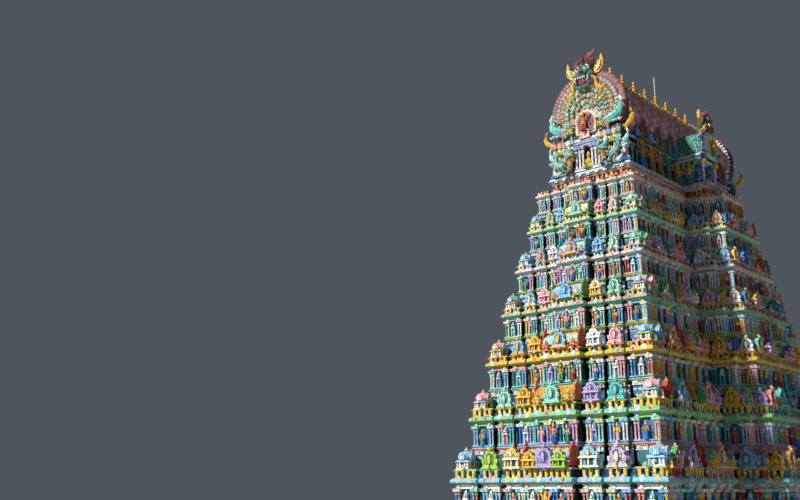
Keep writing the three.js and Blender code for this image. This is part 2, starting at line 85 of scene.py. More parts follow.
# Where the bays meet, as shares of the half width and of the flank beside the porch.
END_SHARES, FLANK_SHARES = (0.24, 0.29, 0.5, 0.75), (0.0, 0.2, 0.48, 0.89)
DOOR_FOOT, NOTCH = 0.42, 0.052


def taper(size, storey):
    first, last, power = size
    return last + (first - last) * ((STOREYS - storey) / (STOREYS - 1)) ** power


def storey_height(storey):
    return FIRST_STOREY * STOREY_RATIO ** (max(storey, 1) - 1)


lips = [GATE_LIP]
for storey in range(1, STOREYS + 1):
    lips.append(lips[-1] + storey_height(storey))


class Plan:
    """The half sizes of one storey."""

    def __init__(self, storey):
        self.length, self.width = taper(HALF_LENGTH, storey), taper(HALF_WIDTH, storey)
        self.porch, self.door, self.lip = (taper(size, storey) for size in (PORCH_HALF, DOOR_HALF, LIP_OUT))
        self.notch = NOTCH * storey_height(storey)
        self.end_marks = [share * self.width for share in END_SHARES]
        self.flank_marks = [self.length - share * (self.length - self.porch) for share in FLANK_SHARES]


plans = [Plan(storey) for storey in range(STOREYS + 1)]
print("top cornice at", round(lips[-1] * SCALE, 2), "m in the model")

# %% [markdown]
# ## The camera
#
# The photograph is taken from below, off one corner, so the camera looks up a little. Its place and lens
# come from the cornices' corners in the photograph. It is made first, because everything is judged
# through it.

# %% Camera at the photograph's viewing angle
EYE = Vector((-58.8, -29.7, 21.1)) * SCALE
EYE_TURN, EYE_PITCH = math.radians(42.92), math.radians(14.58)
FOCAL_PIXELS, IMAGE_WIDTH, SENSOR = 915.5, 800, 36.0

camera_data = bpy.data.cameras.new("camera")
camera_data.sensor_width = SENSOR
camera_data.lens = SENSOR * FOCAL_PIXELS / IMAGE_WIDTH
camera_data.clip_end = 1000
camera = bpy.data.objects.new("camera", camera_data)
camera.location = EYE
camera.rotation_euler = (math.radians(90) + EYE_PITCH, 0, EYE_TURN - math.radians(90))
scene.collection.objects.link(camera)
scene.camera = camera
print("camera looks up", round(math.degrees(EYE_PITCH), 1), "degrees, lens", round(camera_data.lens, 1), "mm")

# %% [markdown]
# ## Writing nodes
#
# Materials and Geometry Nodes are both node trees. One class wraps a socket, so that sums can be written
# as sums, and one method makes any other node from its type, its settings and its sockets.

# %% A small language for node trees
class Flow:
    """A socket of a node tree that can be used in arithmetic."""

    def __init__(self, web, socket):
        self.web = web
        self.socket = socket

    def math(self, operation, other=0.0, flipped=False, clamp=False):
        first, second = (other, self) if flipped else (self, other)
        settings = {"operation": operation, "use_clamp": clamp}
        return self.web.make("ShaderNodeMath", settings, {0: first, 1: second})

    def __add__(self, other):
        return self.math("ADD", other)

    def __mul__(self, other):
        return self.math("MULTIPLY", other)

    def __sub__(self, other):
        return self.math("SUBTRACT", other)

    def __rsub__(self, other):
        return self.math("SUBTRACT", other, flipped=True)

    def __gt__(self, other):
        return self.math("GREATER_THAN", other)

    def __lt__(self, other):
        return self.math("LESS_THAN", other)

    __radd__ = __add__
    __rmul__ = __mul__

    def clamp(self):
        return self.math("ADD", 0.0, clamp=True)


class Web:
    """A node tree that is being written."""

    def __init__(self, tree):
        self.tree = tree

    def node(self, kind, settings, sockets):
        made = self.tree.nodes.new(kind)
        for name, value in settings.items():
            setattr(made, name, value)
        for key, value in sockets.items():
            for item in value if isinstance(value, list) else [value]:
                if isinstance(item, Flow):
                    self.tree.links.new(item.socket, made.inputs[key])
                else:
                    made.inputs[key].default_value = item
        return made

    def make(self, kind, settings=None, sockets=None, out=0):
        return Flow(self, self.node(kind, settings or {}, sockets or {}).outputs[out])

    def blend(self, share, first, second):
        return self.make("ShaderNodeMix", {"data_type": "RGBA"}, {0: share, 6: first, 7: second}, 2)

    def place(self):
        return self.make("ShaderNodeTexCoord", out="Object")

    def noise(self, place, scale, detail=2.0):
        return self.make("ShaderNodeTexNoise", {}, {"Vector": place, "Scale": scale, "Detail": detail})


# %% [markdown]
# ## Paint colours
#
# The tower is painted in some thirty colours of lime and enamel paint. They are named once, as a painter
# would ask for them, and written in the usual web notation. SHADE is no paint of the tower: it is painted
# shade, for niches, notches, grooves and the gaps between posts. Blender wants linear values, so each is
# converted.

# %% The painter's colours
def paint(code):
    values = [int(code[i:i + 2], 16) / 255 for i in (0, 2, 4)]
    return (*[v / 12.92 if v <= 0.04045 else ((v + 0.055) / 1.055) ** 2.4 for v in values], 1.0)


def paints(codes):
    return [paint(code) for code in codes.split()]


CREAM, WHITE, MINT, SKY, BLUE, NAVY = paints("efe6c4 eef2ec a4e2cc 8cc6ee 2f7cc6 1b3568")
TEAL, SEA, GREEN, LIME, GOLD, OCHRE = paints("249494 62c8bc 46a860 a9d148 f0c032 bd8a2c")
ORANGE, RED, MAROON, PINK, SALMON, LILAC = paints("e2823c c43c30 84323c f2b4bc ea9880 bcaae0")
# SHADE is painted shade, not a paint of the tower.
VIOLET, SHADE, BRONZE, ROSE, PLUM, PINE = paints("6a58b4 1a3650 9a6820 c48a80 86505a 2f6f5a")
GRIME, DUST = paints("3c332c a4937a")

PASTELS = [CREAM, PINK, SKY, MINT, LILAC, WHITE, SEA, SKY, MINT]
STRONG = [TEAL, SALMON, BLUE, GOLD, ROSE, GREEN, LILAC, SKY, GOLD, SEA, CREAM, RED]
ACCENTS = [GOLD, SALMON, TEAL, WHITE, MINT, BLUE]
DEEP = [MAROON, BLUE, TEAL, PINE, VIOLET, RED, PLUM]
SHRINE_COATS = [GOLD, BLUE, TEAL, RED, SKY, PINK, GREEN, LILAC, SALMON, SEA, BLUE]
print("palettes:", len(PASTELS), "pale,", len(STRONG), "strong,", len(ACCENTS), "accents,", len(DEEP), "deep")

# %% [markdown]
# ## Weathered paint
#
# Painted stucco out of doors is never one flat colour: rain pulls grime down the face, dust lies on what
# faces up, the brush leaves lighter and darker patches, and the surface has a fine grain. One function adds
# all that to any colour, so that every finish ages in the same way.

# %% Ageing that all finishes share
RAIN_STRETCH = (7.0, 7.0, 0.8)
STREAK_FLOOR, DUST_SLOPE = 0.52, 0.4


def aged(web, colour, grime=0.3, dust=0.25, grain=0.02, sheen=(0.45, 0.75), relief=0.0):
    """Adds patches, streaks, dust, grain and relief, and returns colour, roughness and normal."""
    place = web.place()
    patches, fine = web.noise(place, 2.3, 4.0), web.noise(place, 26.0, 5.0)
    streaks = web.noise(web.make("ShaderNodeMapping", {}, {"Vector": place, "Scale": RAIN_STRETCH}), 1.6, 6.0)
    up = web.make("ShaderNodeSeparateXYZ", {}, {0: web.make("ShaderNodeNewGeometry", out="Normal")}, 2)
    toned = web.make("ShaderNodeHueSaturation", {},
                     {"Saturation": 0.9 + 0.2 * fine, "Value": 0.75 + 0.5 * patches, "Color": colour})
    dirty = web.blend(((streaks - STREAK_FLOOR) * (4 * grime)).clamp(), toned, GRIME)
    dusty = web.blend(((up - DUST_SLOPE) * dust * (0.6 + fine)).clamp(), dirty, DUST)
    low, high = sheen
    bump = web.make("ShaderNodeBump", {},
                    {"Strength": 0.5, "Distance": grain, "Height": fine + 0.6 * patches + relief})
    return dusty, low + (high - low) * patches + 0.1 * fine, bump


def finish(name, write):
    """A material whose Principled sockets are written by a function that gets a Web."""
    material = bpy.data.materials.new(name)
    material.use_nodes = True
    material.node_tree.nodes.clear()
    web = Web(material.node_tree)
    shader = web.make("ShaderNodeBsdfPrincipled", {}, write(web))
    web.node("ShaderNodeOutputMaterial", {}, {"Surface": shader})
    return material


def surface(colour, roughness, normal, **fixed):
    return {"Base Color": colour, "Roughness": roughness, "Normal": normal, **fixed}


# %% [markdown]
# ## The stucco painter's finish
#
# A carved piece has up to six colours: its body, its trim, its accent, and three that all pieces share
# (shadow, white, gold). Each face stores which of the six it wears, as the number "tone", and each placed
# copy stores its own three coats. The shader puts the two together, so one material paints thousands of
# different pieces.
#
# Between the carvings the masons cut leaves, scales and beads that are too small to model. A pattern of
# cells stands for them: a groove round each cell, bumped in and darkened with painted shade, and the trim's
# colour dabbed on every fourth. The roof's tiles are plain, so their finish leaves the pattern out.

# %% Stucco paint, chosen by tone and coat
COATS = ("coat_a", "coat_b", "coat_c")
CELLS, GROOVE_SHADE, GROOVE_DEPTH = 12.0, 0.55, 2.0
DABBED, DAB = 0.75, 0.5


def stucco_paint(web, carved=1.0):
    """carved is the strength of the small relief."""
    tone = web.make("ShaderNodeAttribute", {"attribute_name": "tone"}, out="Fac")
    colour, trim, accent = [web.make("ShaderNodeAttribute", {"attribute_name": name}, out="Color")
                            for name in COATS]
    for step, coat in enumerate((trim, accent, SHADE, WHITE, GOLD)):
        colour = web.blend(tone > step + 0.5, colour, coat)
    cells = {"Vector": web.place(), "Scale": CELLS}
    edge = web.make("ShaderNodeTexVoronoi", {"feature": "DISTANCE_TO_EDGE"}, cells, "Distance")
    patch = web.make("ShaderNodeTexVoronoi", {}, cells, "Color")
    chance = web.make("ShaderNodeSeparateColor", {}, {0: patch}, 0)
    touched = web.blend((chance > DABBED) * (DAB * carved), colour, trim)
    groove = carved * (1.0 - CELLS * edge).clamp()
    # The grooves are darkened towards SHADE: painted shade in the crevices. Their bump is the relief.
    shaded = web.blend(GROOVE_SHADE * groove, touched, SHADE)
    return surface(*aged(web, shaded, relief=-GROOVE_DEPTH * groove))


stucco = finish("painted stucco", stucco_paint)
glaze = finish("painted tile", lambda web: stucco_paint(web, 0.0))
print("nodes in the stucco's shader:", len(stucco.node_tree.nodes))

# %% [markdown]
# ## A chisel
#
# Each carving is a handful of blocks, turned shapes, balls and plates. This class collects them as plain
# vertices and faces, notes each face's tone and each vertex's coats, and makes one mesh. A carving of the
# stock stands at the origin, is one unit high and looks along -Y.

# %% The class that carves
# DARK faces wear SHADE: painted shade in niches, notches and the gaps behind posts. On the lion mask it is
# the pupils' own dark paint.
BODY, TRIM, ACCENT, DARK, PALE, GILT = range(6)


def triple(size):
    return size if isinstance(size, tuple) else (size, size, size)


def triangles(mesh):
    return sum(len(face.vertices) - 2 for face in mesh.polygons)


class Carving:
    def __init__(self, coat=(WHITE, WHITE, WHITE)):
        self.points, self.faces, self.tones, self.flat, self.coats = [], [], [], [], []
        self.coat = coat

    def add(self, points, faces, tones, flat=True):
        """Adds points and faces. tones and flat are one value, or one for each face."""
        start = len(self.points)
        self.points += [tuple(point) for point in points]
        self.coats += [self.coat] * len(points)
        self.faces += [[start + i for i in face] for face in faces]
        self.tones += tones if isinstance(tones, list) else [tones] * len(faces)
        self.flat += flat if isinstance(flat, list) else [flat] * len(faces)
        return self

    def block(self, x, y, z, tone, top=1.0):
        """A box from its ranges, where one number for x is a half width. top is the growth of its top."""
        x = x if isinstance(x, (tuple, list)) else (-x, x)
        middle_x, middle_y = sum(x) / 2, sum(y) / 2
        points = []
        for level, grow in ((z[0], 1.0), (z[1], top)):
            for px, py in ((x[0], y[0]), (x[1], y[0]), (x[1], y[1]), (x[0], y[1])):
                points.append((middle_x + (px - middle_x) * grow, middle_y + (py - middle_y) * grow, level))
        sides = [(i, (i + 1) % 4, (i + 1) % 4 + 4, i + 4) for i in range(4)]
        return self.add(points, [(3, 2, 1, 0), (4, 5, 6, 7), *sides], tone)

    def rings(self, rings, tone, smooth=True, caps=True):
        """Skins a stack of rings that all have the same number of points."""
        count = len(rings[0])
        faces = []
        for level in range(len(rings) - 1):
            low, high = level * count, (level + 1) * count
            steps = [(i, (i + 1) % count) for i in range(count)]
            faces += [(low + i, low + j, high + j, high + i) for i, j in steps]
        if caps:
            faces += [list(range(count))[::-1], list(range(len(rings) * count - count, len(rings) * count))]
        return self.add([point for ring in rings for point in ring], faces, tone, not smooth)

    def turned(self, profile, tone, sides=6, at=(0, 0)):
        """A turned shape from (radius, height) pairs."""
        angles = [2 * math.pi * (i + 0.5) / sides for i in range(sides)]
        rings = [[(at[0] + r * math.cos(a), at[1] + r * math.sin(a), z) for a in angles] for r, z in profile]
        return self.rings(rings, tone)

    def ball(self, x, y, z, rx, ry, rz, tone, sides=5, rings=3, lean=0.0):
        """A small ellipsoid. lean turns it in the XZ plane."""
        swing = Matrix.Rotation(lean, 3, "Y")
        stack = []
        for i in range(rings):
            t = math.pi * (0.14 + 0.72 * i / (rings - 1))
            loop = []
            for j in range(sides):
                a = 2 * math.pi * (j + 0.5) / sides
                spot = (math.sin(t) * math.cos(a) * rx, math.sin(t) * math.sin(a) * ry, -math.cos(t) * rz)
                loop.append(Vector((x, y, z)) + swing @ Vector(spot))
            stack.append(loop)
        return self.rings(stack, tone)

    def balls(self, *rows, side=1):
        """A ball for each row of its arguments. A side of -1 mirrors them in X."""
        for x, *rest in rows:
            lean = (side * rest.pop(),) if len(rest) == 9 else ()
            self.ball(side * x, *rest, *lean)
        return self

    def twins(self, *rows):
        """The same balls on both sides."""
        return self.balls(*rows, side=-1).balls(*rows)

    def plate(self, outline, front, back, tone):
        """A flat figure in X and Z, given counter-clockwise as seen from -Y, with a thickness in Y."""
        count = len(outline)
        points = [(x, front, z) for x, z in outline] + [(x, back, z) for x, z in outline]
        sides = [((i + 1) % count, i, i + count, (i + 1) % count + count) for i in range(count)]
        return self.add(points, [list(range(count)), list(range(count, 2 * count))[::-1], *sides], tone)

    def tube(self, path, radii, tone, sides=6, side=1):
        """A round bar that follows a path, thicker and thinner as its radii say. side is as for balls."""
        spots = [Vector((side * x, y, z)) for x, y, z in path]
        stack = []
        for i, spot in enumerate(spots):
            ahead = spots[min(i + 1, len(spots) - 1)] - spots[max(i - 1, 0)]
            turn = ahead.to_track_quat("Z", "Y")
            angles = [2 * math.pi * j / sides for j in range(sides)]
            loop = [Vector((radii[i] * math.cos(a), radii[i] * math.sin(a), 0)) for a in angles]
            stack.append([spot + turn @ point for point in loop])
        return self.rings(stack, tone)

    def place(self, other, at, turn=0.0, size=1.0):
        """Adds a copy of another carving, turned about Z and scaled."""
        scale, spin = triple(size), Matrix.Rotation(turn, 3, "Z")
        points = [spin @ Vector([a * b for a, b in zip(point, scale)]) + Vector(at) for point in other.points]
        return self.add(points, other.faces, other.tones, other.flat)

    def run(self, outline, section):
        """A moulding: outline gives the points for an offset, section is a list of (out, height, tone).

        Points with a third value lie deep in a notch, and a face between two of them is painted DARK, as the
        shade deep in the notch.
        """
        loops = [outline(out) for out, _, _ in section]
        deep = [len(a) + len(b) == 6 for a, b in zip(loops[0], loops[0][1:] + loops[0][:1])]
        rings = [[(x, y, z) for x, y, *_ in loop] for loop, (_, z, _) in zip(loops, section)]
        for low, high, (_, _, tone) in zip(rings, rings[1:], section[1:]):
            self.rings([low, high], [DARK if dark else tone for dark in deep], smooth=False, caps=False)
        for ring, step in ((rings[0], -1), (rings[-1], 1)):
            self.add(ring, [list(range(len(ring)))[::step]], section[0 if step < 0 else -1][2])
        return self

    def mesh(self, name):
        made = bpy.data.meshes.new(name)
        made.from_pydata(self.points, [], self.faces)
        made.attributes.new("tone", "FLOAT", "FACE").data.foreach_set("value", [float(t) for t in self.tones])
        made.attributes.new("sharp_face", "BOOLEAN", "FACE").data.foreach_set("value", self.flat)
        made.update()
        return made


def arch(radius, start, steps, centre=(0, 0), lobe=0.0):
    """The outline of a horseshoe arch, plain or with a row of lobes."""
    points = []
    for i in range(steps + 1):
        a = math.radians(start + (180 - 2 * start) * i / steps)
        r = radius * (1 + lobe * (i % 2))
        points.append((centre[0] + r * math.cos(a), centre[1] + r * math.sin(a)))
    return points


# %% [markdown]
# ## The stock of carvings
#
# Like the masons, the lesson works from a small stock: a column, a niche pavilion, a horseshoe gable, a
# domed corner shrine, a vault, a seated and a standing figure and so on. A shape that is repeated hundreds
# of times gets only a few dozen faces.

# %% Column and niche pavilion
def column():
    profile = [(0.08, 0.0), (0.046, 0.1), (0.044, 0.66), (0.08, 0.74), (0.05, 0.88)]
    return Carving().turned(profile, BODY, 5).block(0.09, (-0.11, 0.07), (0.86, 1.0), TRIM, 1.3)


def pavilion():
    made = Carving()
    for x in (-0.13, 0.13):
        made.block((x - 0.034, x + 0.034), (-0.12, -0.02), (0, 0.52), BODY)
    made.ball(0, -0.04, 0.26, 0.06, 0.05, 0.2, ACCENT, 4).block(0.2, (-0.16, 0.05), (0.52, 0.62), BODY, 0.72)
    made.turned([(0.13, 0.62), (0.14, 0.82), (0.01, 1.0)], BODY, 5, (0, -0.03))
    return made.plate([(-0.07, 0.66), (0.07, 0.66), (0, 0.84)], -0.19, -0.1, TRIM)


# %% Horseshoe gables, large and small
def gable():
    """A horseshoe arch with a lobed rim on a stepped foot, with volutes beside it and a pot on top."""
    centre = (0, 0.47)
    made = Carving().block(0.42, (-0.2, 0.12), (0, 0.07), TRIM).block(0.36, (-0.16, 0.1), (0.07, 0.17), BODY)
    made.plate([(-0.25, 0.17), (0.25, 0.17), *arch(0.28, -30, 14, centre, 0.16)], -0.12, 0.1, BODY)
    made.plate([(-0.16, 0.19), (0.16, 0.19), *arch(0.2, -35, 7, centre)], -0.15, -0.12, ACCENT)
    made.balls((0, -0.18, 0.4, 0.13, 0.08, 0.2, TRIM, 4), (0, -0.12, 0.82, 0.14, 0.1, 0.08, BODY, 4))
    made.twins((0.32, -0.12, 0.3, 0.09, 0.09, 0.14, BODY, 4, 3, 0.3))
    return made.turned([(0.06, 0.87), (0.09, 0.91), (0.01, 1.0)], TRIM, 5, (0, -0.06))


def window():
    """The small horseshoe window of a cornice."""
    outline = [(-0.34, 0), (0.34, 0), (0.46, 0.32), (0.34, 0.7), (0, 1.0), (-0.34, 0.7), (-0.46, 0.32)]
    made = Carving().plate(outline, -0.14, 0.1, BODY)
    return made.plate([(-0.15, 0.1), (0.15, 0.1), (0.21, 0.36), (0, 0.62), (-0.21, 0.36)], -0.19, -0.14, TRIM)


# %% Shrines, vault and post
def shrine():
    """The front of a small temple: a niche between columns, a roll cornice, and a gable with a pot."""
    made = Carving().block(0.42, (-0.3, 0.2), (0, 0.08), TRIM).block(0.34, (-0.2, 0.15), (0.08, 0.36), BODY)
    # The niche's back is DARK: painted shade inside the niche.
    made.block(0.16, (-0.22, -0.2), (0.1, 0.34), DARK)
    for x in (-0.32, 0.0, 0.32):
        made.block((x - 0.035, x + 0.035), (-0.29, -0.2), (0.08, 0.36), TRIM)
    made.block(0.44, (-0.34, 0.2), (0.36, 0.45), TRIM, 0.84)
    made.plate([(-0.25, 0.45), (0.25, 0.45), *arch(0.26, -15, 10, (0, 0.57), 0.14)], -0.24, 0.1, BODY)
    made.plate([(-0.13, 0.47), (0.13, 0.47), *arch(0.16, -15, 6, (0, 0.57))], -0.27, -0.24, ACCENT)
    made.ball(0, -0.29, 0.57, 0.1, 0.06, 0.12, TRIM, 4)
    made.twins((0.34, -0.16, 0.54, 0.09, 0.09, 0.12, BODY, 4))
    return made.turned([(0.05, 0.84), (0.08, 0.9), (0.01, 1.0)], GILT, 5, (0, -0.08))


def dome():
    made = Carving().block(0.42, (-0.42, 0.42), (0, 0.06), TRIM)
    made.block(0.34, (-0.34, 0.34), (0.06, 0.32), BODY)
    for turn in range(4):
        # Each side has a DARK panel behind its pilasters: painted shade in the recess.
        side = Carving().block(0.08, (-0.36, -0.34), (0.08, 0.3), DARK)
        for x in (-0.34, -0.15, 0.15):
            side.block((x - 0.04, x + 0.04), (-0.38, -0.3), (0.06, 0.32), TRIM)
        side.place(window(), (0, -0.36, 0.42), 0.0, (0.42, 0.5, 0.34))
        made.place(side, (0, 0, 0), math.radians(90 * turn))
    made.block(0.45, (-0.45, 0.45), (0.32, 0.4), ACCENT, 0.8)
    made.turned([(0.34, 0.4), (0.43, 0.5), (0.41, 0.62), (0.28, 0.76), (0.1, 0.82)], BODY, 8)
    return made.turned([(0.09, 0.8), (0.13, 0.86), (0.05, 0.91), (0.012, 1.0)], GILT, 6)


def vault():
    """A barrel roof on a row of little posts. It is one unit long, and is stretched to its bay."""
    # The block behind the little posts is DARK: painted shade in the gaps between them.
    made = Carving().block(0.5, (-0.42, 0.3), (0, 0.26), DARK)
    for i in range(8):
        x = -0.46 + 0.92 * i / 7
        made.block((x - 0.034, x + 0.034), (-0.47, -0.4), (0, 0.26), TRIM)
    made.block(0.52, (-0.5, 0.35), (0.26, 0.34), ACCENT, 0.96)
    angles = [math.pi * i / 9 for i in range(10)]
    section = [(0.4 * math.cos(a) - 0.03, 0.34 + 0.52 * math.sin(a)) for a in angles]
    made.rings([[(x, y, z) for y, z in section[::-1]] for x in (-0.49, 0.49)], BODY)
    return made.block(0.49, (-0.06, 0.0), (0.84, 0.92), TRIM)


def post():
    """A short post of the row over a cornice, wider at its head."""
    return Carving().block(0.5, (-0.5, 0.5), (0, 1.0), BODY, 1.2)


# %% Seated and standing figures, and a bull
def seated():
    made = Carving().ball(0, -0.16, 0.07, 0.36, 0.24, 0.09, TRIM)
    made.twins((0.2, -0.24, 0.2, 0.2, 0.13, 0.09, BODY, 4, 3, 0.25),
               (0.22, -0.16, 0.48, 0.07, 0.08, 0.17, BODY, 4, 3, -0.3))
    made.balls((0, -0.15, 0.42, 0.17, 0.13, 0.25, BODY, 6), (0, -0.17, 0.73, 0.105, 0.11, 0.12, BODY, 6))
    return made.turned([(0.12, 0.79), (0.09, 0.9), (0.02, 1.0)], ACCENT, 5, (0, -0.15))


def small_figure():
    """A seated figure for the bands, with few faces."""
    made = Carving().turned([(0.34, 0), (0.36, 0.16), (0.18, 0.34)], TRIM, 4, (0, -0.12))
    made.turned([(0.18, 0.34), (0.22, 0.56), (0.09, 0.7)], BODY, 4, (0, -0.12))
    return made.turned([(0.1, 0.7), (0.14, 0.84), (0.02, 1.0)], ACCENT, 4, (0, -0.12))


def niche_figure():
    """A standing figure for the niches between the columns, with few faces."""
    made = Carving().turned([(0.15, 0), (0.1, 0.06), (0.13, 0.44)], TRIM, 5, (0, -0.1))
    made.twins((0.16, -0.12, 0.58, 0.05, 0.06, 0.17, BODY, 4, 3, -0.3))
    made.balls((0, -0.1, 0.57, 0.12, 0.09, 0.15, BODY), (0, -0.12, 0.78, 0.07, 0.07, 0.08, BODY, 5))
    return made.turned([(0.08, 0.82), (0.07, 0.9), (0.01, 1.0)], GILT, 4, (0, -0.1))


def standing():
    """A standing figure with a tall crown, four arms and a halo."""
    made = Carving().turned([(0.16, 0), (0.19, 0.03), (0.13, 0.06)], TRIM, 6, (0, -0.12))
    made.twins((0.07, -0.12, 0.25, 0.07, 0.075, 0.22, TRIM, 5, 3, 0.06),
               (0.17, -0.13, 0.6, 0.045, 0.05, 0.12, BODY, 4, 3, -0.45),
               (0.2, -0.19, 0.48, 0.04, 0.1, 0.05, BODY, 4),
               (0.2, -0.1, 0.72, 0.04, 0.045, 0.13, BODY, 4, 3, 0.75),
               (0.27, -0.1, 0.86, 0.05, 0.04, 0.06, ACCENT, 4))
    made.balls((0, -0.12, 0.43, 0.13, 0.1, 0.09, ACCENT, 6), (0, -0.12, 0.58, 0.12, 0.09, 0.13, BODY, 6, 4),
               (0, -0.14, 0.77, 0.065, 0.07, 0.075, BODY, 6, 4))
    crown = [(0.075, 0.82), (0.06, 0.88), (0.065, 0.9), (0.035, 0.95), (0.01, 1.0)]
    made.turned(crown, GILT, 6, (0, -0.12))
    return made.plate([(-0.14, 0.66), (0.14, 0.66), *arch(0.17, -25, 8, (0, 0.76))], -0.05, 0.0, TRIM)


def bull():
    """A reclining bull that looks along -Y."""
    made = Carving().block(0.28, (-0.65, 0.65), (0, 0.12), TRIM)
    made.balls((0, 0.12, 0.38, 0.26, 0.5, 0.25, BODY, 8, 5), (0, -0.16, 0.58, 0.16, 0.18, 0.18, BODY, 6, 4),
               (0, -0.42, 0.6, 0.14, 0.17, 0.22, BODY, 6, 4), (0, -0.62, 0.72, 0.12, 0.2, 0.12, BODY, 6, 4),
               (0, -0.42, 0.44, 0.17, 0.08, 0.12, ACCENT, 6))
    for side in BOTH:
        horns = [(0.08, -0.5, 0.82), (0.15, -0.5, 0.93), (0.1, -0.52, 1.0)]
        made.tube(horns, (0.035, 0.03, 0.01), GILT, 5, side)
        made.balls((0.18, -0.48, 0.76, 0.09, 0.04, 0.04, BODY), (0.2, -0.4, 0.2, 0.07, 0.2, 0.08, BODY),
                   (0.24, 0.4, 0.22, 0.09, 0.22, 0.12, BODY), side=side)
    return made


# %% Flames, feathers, beads, curls and tiles
def flame():
    """A pointed petal, with a boss in front and behind."""
    made = Carving().plate([(-0.3, 0), (0.3, 0), (0.42, 0.45), (0.2, 0.85), (0, 1), (-0.28, 0.75),
                            (-0.42, 0.4)], -0.16, 0.16, BODY)
    return made.balls(*[(0, y, 0.42, 0.2, 0.12, 0.34, TRIM, 6) for y in (-0.16, 0.16)])


def feather():
    return Carving().ball(0, 0, 0.5, 0.2, 0.3, 0.5, BODY, 4)


def petal():
    """A petal of a great gable's rim, painted in one colour in front and in another behind."""
    return Carving().balls((0, -0.08, 0.5, 0.24, 0.2, 0.5, BODY, 4), (0, 0.1, 0.48, 0.24, 0.2, 0.5, TRIM, 4))


def horn():
    """A crescent that curls outwards to +X and up."""
    path = [(-0.3, 0, 0), (0.12, 0, 0.0), (0.45, 0, 0.2), (0.58, 0, 0.52), (0.52, 0, 0.82), (0.4, 0, 1.0)]
    return Carving().tube(path, (0.09, 0.14, 0.17, 0.15, 0.08, 0.01), BODY)


def bead():
    return Carving().ball(0, 0, 0, 0.5, 0.5, 0.5, BODY, 5)


def curl():
    """A scroll in the XZ plane."""
    path = []
    for i in range(9):
        angle, radius = 0.9 * i, 0.42 - 0.044 * i
        path.append((radius * math.cos(angle), -0.025 * i, radius * math.sin(angle)))
    made = Carving().tube(path, [0.1 - 0.006 * i for i in range(9)], BODY, 4)
    return made.ball(0, -0.2, 0, 0.12, 0.1, 0.12, TRIM, 4)


def tile():
    """One fish-scale roof tile, hanging down from its top edge. Its rim has the colour of the joints."""
    outline = [(0.5, 0), (-0.5, 0), (-0.5, -0.5), (-0.35, -0.82), (0, -1.0), (0.35, -0.82), (0.5, -0.5)]
    made = Carving().plate(outline, -0.2, 0.0, BODY)
    made.tones[2:] = [TRIM] * len(outline)
    return made


# %% Lion mask
def mask():
    """A lion mask of glory, one unit wide across its ears."""
    ear = [(0.26, 0.5), (0.42, 0.5), (0.56, 0.64), (0.58, 0.84), (0.52, 1.04), (0.44, 0.8), (0.3, 0.72)]
    hollow = [(0.36, 0.58), (0.44, 0.6), (0.5, 0.7), (0.5, 0.84), (0.42, 0.7)]
    jaw = [(0.2, -0.22, 0.46), (0.24, -0.25, 0.3), (0.18, -0.27, 0.14), (0, -0.3, 0.1)]
    tooth = [(0.19, -0.3, 0.43), (0.21, -0.34, 0.32), (0.15, -0.33, 0.24)]
    whisker = [(0.24, -0.2, 0.4), (0.36, -0.16, 0.3), (0.36, -0.12, 0.1), (0.48, -0.1, -0.02),
               (0.58, -0.1, 0.08), (0.54, -0.1, 0.16)]
    made = Carving().balls((0, 0.05, 0.62, 0.3, 0.3, 0.38, BODY, 10, 7),
                           (0, -0.24, 0.52, 0.13, 0.14, 0.1, BODY, 8, 5),
                           (0, -0.36, 0.56, 0.07, 0.07, 0.06, TRIM, 6, 4))
    for side in BOTH:
        made.balls((0.14, -0.24, 0.68, 0.09, 0.08, 0.09, PALE, 8, 5),
                   (0.14, -0.315, 0.69, 0.04, 0.03, 0.04, DARK, 6, 3),
                   (0.15, -0.22, 0.79, 0.13, 0.08, 0.04, ACCENT, 6, 3, -0.3),
                   (0.22, -0.17, 0.5, 0.1, 0.1, 0.09, BODY, 6, 4), side=side)
        for outline, front, back, tone in ((ear, -0.08, 0.06, GILT), (hollow, -0.12, -0.08, PALE)):
            made.plate([(side * x, z) for x, z in outline][::side], front, back, tone)
        made.tube(jaw, (0.05, 0.05, 0.05, 0.05), BODY, 6, side)
        made.tube(tooth, (0.035, 0.03, 0.006), PALE, 5, side)
        made.tube(whisker, (0.05, 0.06, 0.06, 0.055, 0.045, 0.02), GILT, 6, side)
    made.balls((0, -0.16, 0.29, 0.2, 0.16, 0.16, TRIM, 8, 5), (0, -0.27, 0.2, 0.08, 0.09, 0.04, ACCENT, 8, 4))
    for i in range(5):
        made.ball(-0.1 + 0.05 * i, -0.33, 0.4, 0.022, 0.025, 0.035, PALE, 4)
    for i in range(7):
        x = -0.24 + 0.08 * i
        made.ball(x, -0.06, 0.98 - 1.6 * x * x, 0.07, 0.16, 0.1, ACCENT, 6, 4, 0.5 * x)
    crest = [(0.08, 0.0, 1.0), (0.16, -0.02, 1.12), (0.28, -0.02, 1.16), (0.3, -0.02, 1.26)]
    made.tube(crest, (0.1, 0.08, 0.05, 0.01), ACCENT)
    for i in range(4):
        made.ball(0, -0.27 + 0.03 * i, 0.84 + 0.07 * i, 0.035, 0.04, 0.04, TRIM)
    return made


